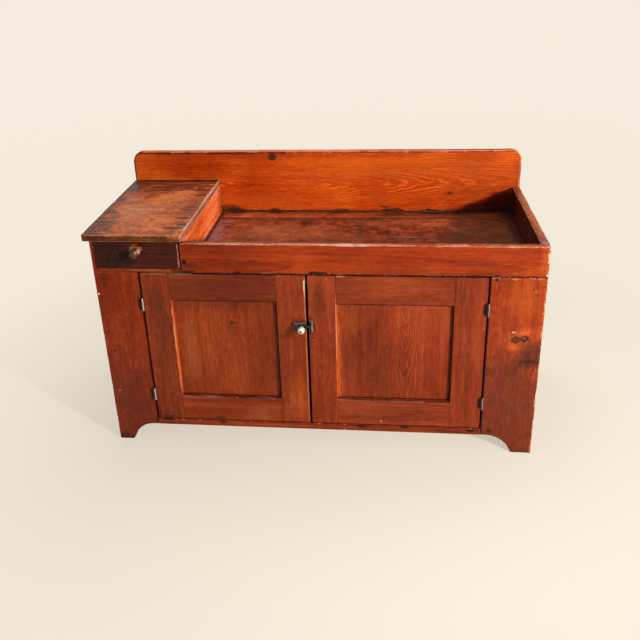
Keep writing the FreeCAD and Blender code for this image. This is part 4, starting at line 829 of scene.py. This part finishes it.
drawerKnob = {"centre": (middleOf("drawer_knob")[0], -3.0, middleOf("drawer_knob")[2]),
    "stations": [(-20, 5), (-0.5, 5.1), (-0.2, 13.4), (1.2, 14.3), (3.2, 14.0), (4.5, 12.2), (5.6, 9.4),
        (8, 7.9), (11, 8.1), (13.4, 10.2), (16.4, 12.6), (20, 13.4), (24, 13.3), (27.8, 12.0), (30.8, 9.0),
        (32.4, 5.2), (33.0, 0.3)]}
piece = spun("worn_drawer_knob", curve(drawerKnob["stations"], 90), drawerKnob["centre"])
material = woodMaterial("drawer_knob_wood", "knob", "y", "z", drawerKnob["centre"], 103, redness=0.2,
    rings=dict(spacing=3, pith=(2, 18), tilt=(0.05, 0.05), wave=6),
    # painted light on the knob: the two pink marks on its right are highlights and the black on its left is
    # shade
    marks=[((-543, -26, 722), (4, 9, 6), "pink", 0.6, 1.0), ((-541, -6, 719), (6, 9, 9), "pink", 0.75, 1.0),
        ((-556, -30, 712), (9, 12, 8), "brown", 0.6, 0.8), ((-552, -14, 694), (14, 24, 5), "tan", 0.4, 1.2),
        ((-560, -12, 708), (12, 14, 14), "black", 0.6, 0.9)])
fit(piece, material, "drawer", "drawer_knob")
print("till made")

# doors
doorParts = {
    "left": dict(hinge=(-550.5, -459.5), latch=(-120, -29), seed=110,
        tint=(1.02, 1.02, 0.95), rails={"top": (545, 640), "bottom": (92, 185)},
        edges={"hinge": [(0.9, -0.6), (0.7, -0.2), (1.0, 0.7), (0.8, -0.4)],
            "latch": [(1.0, -0.6), (1.9, 0.8), (1.0, -0.6), (0.7, -0.2)],
            "top": [(0.8, -0.4), snug, (1.2, -0.5), snug],
            "bottom": [(0.9, -0.7), snug, (1.2, -0.7), snug]},
        marks={
            "hinge": spots("y", 0, 20, (-505, 330, 60, 300, "oxblood", 0.28, 0.9),
                (-548, 110, 8, 30, "black", 0.6, 0.9), (-515, 101, 36, 4.5, "black", 0.6, 1.6),
                (-505, 640, 44, 2.6, "pink", 0.85, 1.0, 6), (-505, 480, 50, 160, "brown", 0.35, 0.9),
                # painted light: the orange and pink strips at x -459 on the stile's inner edge, which faces
                # the key lamp
                (-459, 365, 4, 190, "orange", 0.95, 0.5, 14, 5), (-459, 420, 3, 130, "pink", 0.75, 0.9, 6),
                (-459, 250, 2.4, 60, "pink", 0.5, 0.9, 6)),
            # the first mark, a dark smear left of and below the latch, is its painted shadow with a rust
            # streak in it
            "latch": spots("y", 0, 12, (-92, 425, 26, 12, "black", 0.42, 0.9),
                # the bone, tan and orange strips at x -29 and -30 are painted light on the door's right edge,
                # which faces the key lamp, over some wear
                (-60, 190, 26, 90, "orange", 0.32, 1.0, 20), (-30, 595, 3, 30, "bone", 0.9, 1.5, 14),
                (-29, 300, 2.2, 200, "tan", 0.7, 1.2, 5), (-75, 560, 34, 50, "red", 0.3, 0.9, 20),
                (-48, 463, 26, 24, "black", 0.5, 0.9, 14), (-29, 250, 3, 150, "orange", 0.7, 1.2)),
            "top": spots("y", 0, 14, (-290, 600, 150, 30, "red", 0.45, 0.9),
                (-430, 640, 60, 2.5, "pale", 0.7, 1.3), (-290, 590, 260, 90, "oxblood", 0.5, 0.6)),
            "bottom": spots("y", 0, 14, (-190, 120, 60, 40, "amber", 0.25, 0.9),
                (-335, 101, 15, 5, "brown", 0.7, 1.4, 20))}),
    "right": dict(hinge=(430.5, 528.5), latch=(-21, 67), seed=130,
        tint=(1.02, 0.98, 1.05), rails={"top": (541, 640), "bottom": (92, 190)},
        edges={"hinge": [(0.9, -0.6), (0.8, -0.4), (1.0, -0.6), (0.7, -0.2)],
            "latch": [(0.9, -0.6), (0.7, 0.2), (1.2, -0.5), (1.3, -0.5)],
            "top": [(0.8, -0.5), snug, (1.2, -0.5), snug],
            "bottom": [(0.9, -0.6), snug, (1.2, -0.7), snug]},
        marks={"hinge": [((500, 0, 300), (24, 20, 160), "red", 0.3, 0.9)],
            "latch": spots("y", 0, 20, (-6, 421, 3.2, 3.2, "black", 0.95, 0.2, 10),
                (10, 560, 30, 70, "brown", 0.4, 0.9), (-14, 463, 14, 30, "black", 0.5, 0.9, 14),
                # painted light: the orange and pink strips at x 67 on the stile's inner edge, which faces the
                # key lamp
                (67.5, 365, 3.4, 190, "orange", 0.9, 0.6, 14, 5), (67, 440, 2.6, 110, "pink", 0.8, 0.8, 6),
                (67, 260, 2.4, 70, "orange", 0.8, 0.8, 6), (30, 130, 50, 60, "brown", 0.25, 0.9)),
            "top": spots("y", 0, 14, (250, 612, 150, 26, "orange", 0.22, 0.9),
                (78, 638, 18, 3, "tan", 0.85, 1.2, 12), (250, 550, 180, 16, "red", 0.3, 0.9),
                (250, 590, 230, 60, "oxblood", 0.22, 0.6)),
            "bottom": spots("y", 0, 14, (250, 140, 230, 70, "brown", 0.36, 0.6),
                (208, 109, 5, 3, "tan", 0.9, 0.8, 8))})}
for hand, door in doorParts.items():
    bottomZ, topZ = door["rails"]["bottom"][0], door["rails"]["top"][1]
    inner = (door["hinge"][1], door["latch"][0]) if hand == "left" else (door["latch"][1], door["hinge"][0])
    for index, role in enumerate(("hinge", "latch")):
        across = door[role]
        plainBoard(f"{hand}_door_{role}_stile", "front", "door", "z", door["seed"] + index,
            door["edges"][role], body=f"{hand}_door", slotName="pine_door",
            spans=((across[0], bottomZ), (across[1], topZ)), chips=12, tint=door["tint"], scratches=0.3,
            rings=dict(spacing=8, pith=(18 - 30 * index, 62), tilt=(0.012, 0.03), wave=34), figure=0.72,
            # the right hinge stile also gets painted shadows of its hinge barrels
            marks=door["marks"][role] + (hingeBarrelShadow(524, hand) if (hand, role) == ("right", "hinge") else []),
            # painted shade: black along the door's bottom and top edges, in the gaps
            lines=[("z", bottomZ, 5, "black", 0.8), ("z", topZ, 3, "black", 0.6)], raw=bareInside,
            chipped=[("yz", (0, topZ), 4, "pink", 0.95 if (hand, role) == ("left", "hinge") else 0.2)])
    for index, role in enumerate(("top", "bottom"), start=2):
        heights = door["rails"][role]
        plainBoard(f"{hand}_door_{role}_rail", "front", "door", "x", door["seed"] + index,
            door["edges"][role], body=f"{hand}_door", slotName="pine_door",
            spans=((inner[0], heights[0]), (inner[1], heights[1])), chips=9, tint=door["tint"],
            scratches=0.3, rings=dict(spacing=7, pith=(10, 66), tilt=(0.02, 0.03), wave=30), figure=0.75,
            marks=door["marks"][role], raw=bareInside,
            # painted shade: black along the rail's lower edge and the door's top edge
            lines=[("z", heights[0], 5, "black", 0.75), ("z", topZ, 3, "black", 0.5),
                # painted highlight: a steel-grey line along the bottom rail's top arris
                *([("yz", (0, heights[1]), 2.6, "steel", 0.75)] if role == "bottom" else []),
                ("x", inner[0], 2, "black", 0.45), ("x", inner[1], 2, "black", 0.45)])
    low, high = door["rails"]["bottom"][1], door["rails"]["top"][0]
    if hand == "left":
        panel = dict(rings=dict(spacing=5, pith=(-60, 45), tilt=(-0.02, 0.06), wave=30),
            knots=[((-270, 12, 463), 13)],
            marks=spots("y", 10, 14, (-270, 463, 8, 10, "brown", 0.9, 0.9, 8, 12),
                (-266, 474, 12, 4, "orange", 0.4, 1.2, 8, 12), (-290, 530, 160, 30, "brown", 0.45, 0.9),
                (-415, 360, 24, 130, "amber", 0.3, 0.9), (-275, 430, 30, 50, "red", 0.4, 0.9)),
            tint=(1.08, 1.07, 0.86), figure=0.8, unrest=0.85)
    else:
        panel = dict(rings=dict(spacing=5, pith=(33, 30), tilt=(0.0, -0.075), wave=12),
            marks=spots("y", 10, 14, (160, 300, 60, 120, "brown", 0.32, 0.9),
                (110, 480, 30, 60, "orange", 0.22, 0.9), (370, 300, 50, 120, "red", 0.35, 0.9)),
            tint=(1.06, 1.02, 1.04), figure=0.85, unrest=0.85, flame=0.24)
    panel["raw"] = {"y": (16, 30)}
    litEdge = (4, 0.85) if hand == "left" else (11, 0.55)      # painted highlight: orange on the panel's edge beside the stile whose inner face the key lamp lights
    # painted light in the recess: orange along the lit edge, black for the other stile's cast shadow, and
    # black along the shaded top and bottom
    panel["lines"] = [("x", inner[0], litEdge[0], "orange", litEdge[1]), ("x", inner[1], 11, "black", 0.80),
                      ("z", low, 5, "black", 0.9), ("z", high, 8, "black", 0.75)]
    node = f"{hand}_door_panel"
    dress(nodes[node], woodMaterial(node + "_wood", "door", "z", "y", middleOf(node), door["seed"] + 5,
                                    scratches=0.25, **panel))
print("doors made")

# iron and porcelain
metals = {
    "iron": dict(dark=(0.006, 0.005, 0.005), light=(0.045, 0.040, 0.040), rust=(0.06, 0.020, 0.010),
                 bright=(0.42, 0.40, 0.42), rough=0.44),
    "steel": dict(dark=(0.010, 0.008, 0.008), light=(0.055, 0.045, 0.042), rust=(0.07, 0.025, 0.014),
                  bright=(0.80, 0.72, 0.74), rough=0.40),
    "nail": dict(dark=(0.010, 0.007, 0.006), light=(0.035, 0.024, 0.018), rust=(0.07, 0.022, 0.010),
                 bright=(0.16, 0.14, 0.12), rough=0.62),
    "coated": dict(dark=(0.13, 0.018, 0.005), light=(0.26, 0.040, 0.010), rust=(0.16, 0.026, 0.007),
                   bright=(0.22, 0.06, 0.02), rough=0.50),
}


def ironMaterial(name, look, bright=0.25, highlightStrips=()):
    # dark forged iron: cloudy grey, patches of rust, bright metal in rubbed spots, and painted highlights of
    # the same bright metal in strips beside some planes, given as (axis, value, width, amount)
    material = bpy.data.materials.new(name)
    node, calc, blend, step = shaderTree(material)
    point = node("TexCoord").outputs["Object"]
    cloud, fine, patch = (node("TexNoise", {"Vector": point, "Scale": scale, "Detail": 4.0}).outputs[0]
                          for scale in (160, 900, 70))
    colour = blend(cloud, rgb(look["dark"]), rgb(look["light"]))
    rust = step(calc("MULTIPLY_ADD", fine, 0.3, patch), 0.62, 0.78)
    colour = blend(rust, colour, rgb(look["rust"]))
    rubbedAndHighlit = step(calc("MULTIPLY_ADD", fine, 0.4, cloud), 0.78, 0.92, bright)
    at = node("SeparateXYZ", {0: point}).outputs
    for axis, value, width, amount in highlightStrips:
        gap = calc("ABSOLUTE", calc("SUBTRACT", at[axisIndex[axis]], levelOf(axis, value)))
        gap = calc("MULTIPLY_ADD", calc("SUBTRACT", cloud, 0.5), width / 1500, gap)
        rubbedAndHighlit = calc("MAXIMUM", rubbedAndHighlit, step(gap, width / 1000, width / 2000, amount))
    colour = blend(rubbedAndHighlit, colour, rgb(look["bright"]))
    roughness = calc("MULTIPLY_ADD", cloud, 0.25, look["rough"] - 0.12)
    height = calc("MULTIPLY_ADD", fine, 0.5, cloud)
    surfaceFrom(node, colour, roughness, height, 0.6, 0.0003, Metallic=0.6)
    return material


latchAxis = (-42, 463)      # x and z of the line that the latch's knob turns about
glaze = {"colour": (0.84, 0.82, 0.75), "cloud": 0.86, "crazing": (0.30, 0.22, 0.14, 1.0)}


def porcelainMaterial(name):
    # a thick glaze: faint clouds and crazing in the colour, and a dark ring of dirt round the screw
    material = bpy.data.materials.new(name)
    node, calc, blend, step = shaderTree(material)
    point = node("TexCoord").outputs["Object"]
    cloud = node("TexNoise", {"Vector": point, "Scale": 120, "Detail": 3.0}).outputs[0]
    crazing = node("TexVoronoi", {"Vector": point, "Scale": 420},
                   feature="DISTANCE_TO_EDGE").outputs["Distance"]
    tint = blend(cloud, rgb(glaze["colour"]), rgb([part * glaze["cloud"] for part in glaze["colour"]]))
    tint = blend(step(crazing, 0.05, 0.0, 0.30), tint, glaze["crazing"])
    axis = toFrame((latchAxis[0], 0, latchAxis[1]))
    across = node("Mapping", {"Vector": point, "Location": (-axis[0], 0, -axis[2]),
                              "Scale": (1, 0, 1)}).outputs[0]
    fromAxis = node("VectorMath", {0: across}, operation="LENGTH").outputs["Value"]
    tint = blend(step(fromAxis, 0.0048, 0.0036, 0.92), tint, rgb(pigments["black"]))
    surfaceFrom(node, tint, 0.14, cloud, 0.15, 0.0004, Coat_Weight=0.6, Coat_Roughness=0.05)
    return material


caseLow, caseHigh = caseBox("latch_case")
keeperHigh = caseBox("latch_keeper")[1]
iron = ironMaterial("old_iron", metals["iron"])
# painted highlights along the latch case's top and left edges and the keeper's right and top edges
caseIron = ironMaterial("latch_case_iron", metals["iron"],
    highlightStrips=[("z", caseHigh[2], 1.8, 0.5), ("x", caseLow[0], 1.2, 0.3)])
keeperIron = ironMaterial("keeper_iron", metals["iron"],
    highlightStrips=[("x", keeperHigh[0], 3.4, 0.9), ("z", keeperHigh[2], 1.8, 0.5)])
# painted highlight: a bright strip down each hinge barrel, on the side the key lamp lights
hingeIron = {"left": ironMaterial("left_hinge_iron", metals["steel"], highlightStrips=[("x", -550, 1.8, 0.80)]),
             "right": ironMaterial("right_hinge_iron", metals["steel"], highlightStrips=[("x", 534.4, 1.9, 0.75)])}
nailIron = ironMaterial("nail_iron_rusted", metals["nail"], bright=0.2)
coatedNail = ironMaterial("nail_iron_under_shellac", metals["coated"], bright=0.1)


def softened(node, width, material, body):
    # a CAD node's loose triangles merged into one skin, its flats joined, and its edges rounded by a bevel
    mesh = nodes[node].data.copy()
    work = bmesh.new()
    work.from_mesh(mesh)
    bmesh.ops.remove_doubles(work, verts=work.verts, dist=1e-6)
    bmesh.ops.dissolve_limit(work, angle_limit=math.radians(1), verts=work.verts, edges=work.edges)
    work.to_mesh(mesh)
    work.free()
    mesh.polygons.foreach_set("use_smooth", np.ones(len(mesh.polygons), bool))
    mesh.set_sharp_from_angle(angle=math.radians(35))
    piece = bpy.data.objects.new("soft_" + node, mesh)
    bpy.context.scene.collection.objects.link(piece)
    bevel = piece.modifiers.new("edges", "BEVEL")
    bevel.width, bevel.segments, bevel.limit_method = width / 1000, 2, "ANGLE"
    bevel.angle_limit = math.radians(35)
    bevel.harden_normals = True
    fit(piece, material, body, node)


softened("latch_case", 0.8, caseIron, "left_door")
softened("latch_keeper", 0.5, keeperIron, "right_door")
for hand in ("left", "right"):
    for level in ("upper", "lower"):
        softened(f"{hand}_{level}_hinge_fixed_leaf", 0.3, hingeIron[hand], "cabinet")
        softened(f"{hand}_{level}_hinge_moving_leaf", 0.3, hingeIron[hand], f"{hand}_door")

latchKnob = {"centre": (latchAxis[0], caseBox("latch_knob")[1][1], latchAxis[1]),
    "stations": [(0.0, 6.3), (1.5, 6.4), (5, 6.2), (7.5, 7.4), (9.5, 10.2), (13, 11.4), (17, 11.3),
        (21, 9.8), (24.5, 7.2), (26.3, 4.6), (26.9, 2.7), (26.9, 0.4)]}
piece = spun("porcelain_knob", curve(latchKnob["stations"], 56), latchKnob["centre"])
fit(piece, porcelainMaterial("porcelain_glaze"), "latch_knob_and_spindle", "latch_knob")

screwHead = {"radius": 2.6, "rise": 1.0, "slot": 0.8, "slotDepth": 0.6, "acrossSlot": (0.5, 0.866),
             "sunk": 0.05, "shank": 1.5}
rings, spokes = 9, 40
share, turn = np.meshgrid(np.linspace(1, 0.06, rings), np.linspace(0, 2 * math.pi, spokes, endpoint=False),
                          indexing="ij")
u, v = (screwHead["radius"] * share * trig for trig in (np.cos(turn), np.sin(turn)))
dome = screwHead["rise"] * (1 - share ** 2.5)      # a low dome, cut by one slot across its middle
fromSlot = np.abs(u * screwHead["acrossSlot"][0] + v * screwHead["acrossSlot"][1])
dome = dome - screwHead["slotDepth"] * (fromSlot < screwHead["slot"] / 2) * (share < 0.97)
front = latchKnob["centre"][1] - latchKnob["stations"][-1][0]
top = np.stack([latchAxis[0] + u, front - np.maximum(dome, 0) + screwHead["sunk"], latchAxis[1] + v], axis=-1)
base = top[:1].copy()
base[..., 1] = front + screwHead["shank"]
points = np.concatenate([base, top]).reshape(-1, 3)
faces = gridFaces(rings + 1, spokes)[:, ::-1].tolist()
faces += [np.arange(spokes)[::-1].tolist(), (rings * spokes + np.arange(spokes)).tolist()]
fit(meshPiece("knob_screw_head", toFrame(points), faces, smooth=False), iron, "latch_knob_and_spindle",
    "latch_knob_screw")

nails = {"size": 2.9, "rise": 0.45, "sink": 0.6}


def nailHeads(node, places, axis, sense, seed, material):
    # Hammered heads: each a low dome over a rounded square, radius = size / (cos^4 + sin^4)^(1/4), turned and
    # scaled at random. places are points of the wood's surface; axis and sense say which way is out of it.
    random = np.random.default_rng(seed)
    places = np.array(places, float)
    count, spokes = len(places), 16
    share = np.array([0.05, 1.0, 1.0, 0.82, 0.45, 0.05])
    rise = np.array([-1.0, -1.0, 0.05, 0.55, 0.9, 1.0])
    turn = np.linspace(0, 2 * math.pi, spokes, endpoint=False)
    reach = nails["size"] / (np.cos(turn) ** 4 + np.sin(turn) ** 4) ** 0.25
    reach = reach[None] * random.uniform(0.82, 1.12, (count, 1))
    reach = reach * (1 + 0.06 * random.standard_normal((count, spokes)))
    spin = turn[None] + random.uniform(0, 1.57, (count, 1))
    u = share[None, :, None] * (reach * np.cos(spin))[:, None]
    v = share[None, :, None] * (reach * np.sin(spin))[:, None]
    lift = np.where(rise < 0, -nails["sink"], rise * nails["rise"])[None, :, None]
    tilt = 0.03 * random.standard_normal((count, 1, 1)) * u + 0.03 * random.standard_normal((count, 1, 1)) * v
    level = lift + tilt * (rise[None, :, None] > 0)
    first, second = [index for index in range(3) if index != axis]
    points = np.zeros((count, len(share), spokes, 3))
    points[..., first] = places[:, None, None, first] + u
    points[..., second] = places[:, None, None, second] + v
    points[..., axis] = places[:, None, None, axis] + sense * level
    quads = gridFaces(len(share), spokes)
    caps = np.stack([np.arange(spokes), len(share) * spokes - 1 - np.arange(spokes)])
    if sense * (-1 if axis == 1 else 1) > 0:
        quads, caps = quads[:, ::-1], caps[:, ::-1]
    shift = np.arange(count)[:, None, None] * len(share) * spokes
    faces = (quads[None] + shift).reshape(-1, 4).tolist() + (caps[None] + shift).reshape(-1, spokes).tolist()
    piece = meshPiece("heads_" + node, toFrame(points.reshape(-1, 3)), faces)
    fit(piece, material, "cabinet", node)


lidHeads = [(x, y, 770) for x in (-687.5, -418.5) for y in np.linspace(30, 525, 8)]
faceHeads = [(x, 0, z) for x in (-410, 687.5) for z in (663, 722)]
faceHeads += [(x, 0, z) for x in (-687.5, 687.5) for z in np.linspace(97, 612.4, 5)]
backHeads = [(x, 576.4, z) for x in (-687.5, 687.5) for z in (663, 727, 70, 314, 374, 616)]
nailHeads("till_top_nails", lidHeads, 2, 1, 5, nailIron)
nailHeads("face_nails", faceHeads, 1, -1, 6, coatedNail)
nailHeads("back_nails", backHeads, 1, 1, 7, nailIron)
print("iron and nails made")

# the rest of the CAD nodes
# node: (grain, deep, tint), unfinished wood that shows only when something is open
inside = {"inner_shelf": ("x", "z", (0.9, 0.9, 0.9)), "shelf_cleats": ("y", "z", (0.8, 0.8, 0.8)),
    "bottom_cleats": ("y", "z", (0.8, 0.8, 0.8)), "well_floor_side_cleats": ("y", "z", (0.8, 0.8, 0.8)),
    "well_floor_front_cleat": ("x", "z", (0.85, 0.8, 0.8)),
    "drawer_left_side": ("y", "x", (1.05, 1.05, 1.0)), "drawer_right_side": ("y", "x", (1.0, 1.0, 1.0)),
    "drawer_back": ("x", "y", (1.0, 1.0, 1.0)), "drawer_bottom": ("x", "z", (1.1, 1.1, 1.05))}
for index, (node, (grain, deep, tint)) in enumerate(inside.items()):
    dress(nodes[node], woodMaterial(
        node + "_wood", "bare", grain, deep, middleOf(node), 200 + index * 7, tint=tint, scratches=0.2,
        rings=dict(spacing=7, pith=(15, 50), tilt=(0.02, 0.03), wave=30)))
for node in ("case_hinge_screws", "left_door_hinge_screws", "right_door_hinge_screws", "latch_case_screws",
             "keeper_screws", "latch_spindle", "latch_bolt", "hinge_pins"):
    dress(nodes[node], iron)
print("inside finished")

# studio
studio = {"floor": (0.93, 0.855, 0.735), "backdrop": (0.9, 0.83, 0.72), "nearDrop": (0.9, 0.82, 0.7),
    "fill": 0.4, "fillColour": (1.0, 0.97, 0.93), "clear": (0.7, 1.9), "nearShare": 0.6,
    "tintFar": (1.5, 6.0), "centre": (0.0, 0.1), "half": 14.0,
    "key": dict(place=(2340, -1950, 1460), aim=(100, 150, 500), size=0.2, power=100,
        colour=(1.0, 0.95, 0.88)),
    "top": dict(place=(-300, 900, 2500), aim=(-100, 250, 600), size=1.6, power=21,
        colour=(1.0, 0.98, 0.95))}
# the floor takes light and shadow round the cabinet and passes into the backdrop's own colour further out
floorMaterial = bpy.data.materials.new("studio_floor")
node, calc, blend, step = shaderTree(floorMaterial)
point = node("Mapping", {"Vector": node("TexCoord").outputs["Object"],
                         "Location": (-studio["centre"][0], -studio["centre"][1], 0)}).outputs[0]
outward = node("VectorMath", {0: point}, operation="LENGTH").outputs["Value"]
share = step(outward, *studio["clear"], 1 - studio["nearShare"])
share = calc("ADD", share, studio["nearShare"])
share = calc("MULTIPLY", share, seenRays(node, calc))
lit = node("BsdfPrincipled",
    {"Base Color": rgb(studio["floor"]), "Roughness": 0.9, "Specular IOR Level": 0.1})
tintFar = blend(step(outward, *studio["tintFar"]), rgb(studio["nearDrop"]), rgb(studio["backdrop"]))
clear = node("Emission", {"Color": tintFar, "Strength": 1.0})
node("OutputMaterial",
    {0: node("MixShader", {0: share, 1: lit.outputs[0], 2: clear.outputs[0]}).outputs[0]})
half = studio["half"]
floorPoints = [(-half, -half, 0), (half, -half, 0), (half, half, 0), (-half, half, 0)]
floor = meshPiece("studio_floor", floorPoints, [(0, 1, 2, 3)], smooth=False)
dress(floor, floorMaterial)

# the world lights the cabinet with the fill and shows the backdrop
world = bpy.data.worlds.new("studio")
bpy.context.scene.world = world
node, calc, blend, step = shaderTree(world)
fill, backdrop = (node("Background", {"Color": rgb(colour), "Strength": strength}).outputs[0]
                  for colour, strength in ((studio["fillColour"], studio["fill"]), (studio["backdrop"], 1.0)))
node("OutputWorld", {0: node("MixShader", {0: seenRays(node, calc), 1: fill, 2: backdrop}).outputs[0]})


def lamp(name, settings):
    # a round area lamp at a place, turned towards its aim
    light = bpy.data.lights.new(name, "AREA")
    light.size, light.energy, light.color = settings["size"], settings["power"], settings["colour"]
    light.shape = "DISK"
    holder = bpy.data.objects.new(name, light)
    bpy.context.scene.collection.objects.link(holder)
    start, end = Vector(toFrame(settings["place"])), Vector(toFrame(settings["aim"]))
    holder.location = start
    holder.rotation_euler = (end - start).to_track_quat("-Z", "Y").to_euler()


lamp("key_light", studio["key"])
lamp("top_light", studio["top"])

# the camera's place is in the frame's metres, its angles are degrees, and the picture is square
camera = {
    "place": (0.2383, -2.2340, 1.5757), "yaw": -6.363, "pitch": -22.525, "roll": -1.989,
    "focalPixels": 713.285, "centre": (313.163, 240.879), "picture": 640, "sensor": 36,
}
yaw, pitch, roll = (math.radians(camera[key]) for key in ("yaw", "pitch", "roll"))
forward = Vector((math.sin(yaw) * math.cos(pitch), math.cos(yaw) * math.cos(pitch), math.sin(pitch)))
level = Vector((math.cos(yaw), -math.sin(yaw), 0))
upright = level.cross(forward)
rightward = level * math.cos(roll) + upright * math.sin(roll)
upward = upright * math.cos(roll) - level * math.sin(roll)
cameraData = bpy.data.cameras.new("camera")
cameraData.sensor_width = camera["sensor"]
cameraData.lens = camera["focalPixels"] / camera["picture"] * camera["sensor"]
cameraData.shift_x = 0.5 - camera["centre"][0] / camera["picture"]
cameraData.shift_y = camera["centre"][1] / camera["picture"] - 0.5
cameraData.clip_start, cameraData.clip_end = 0.05, 60
cameraHolder = bpy.data.objects.new("camera", cameraData)
bpy.context.scene.collection.objects.link(cameraHolder)
turned = Matrix((rightward, upward, -forward)).transposed().to_4x4()
cameraHolder.matrix_world = Matrix.Translation(camera["place"]) @ turned
bpy.context.scene.camera = cameraHolder
bpy.context.scene.view_settings.view_transform = "Standard"
print("studio and camera set")
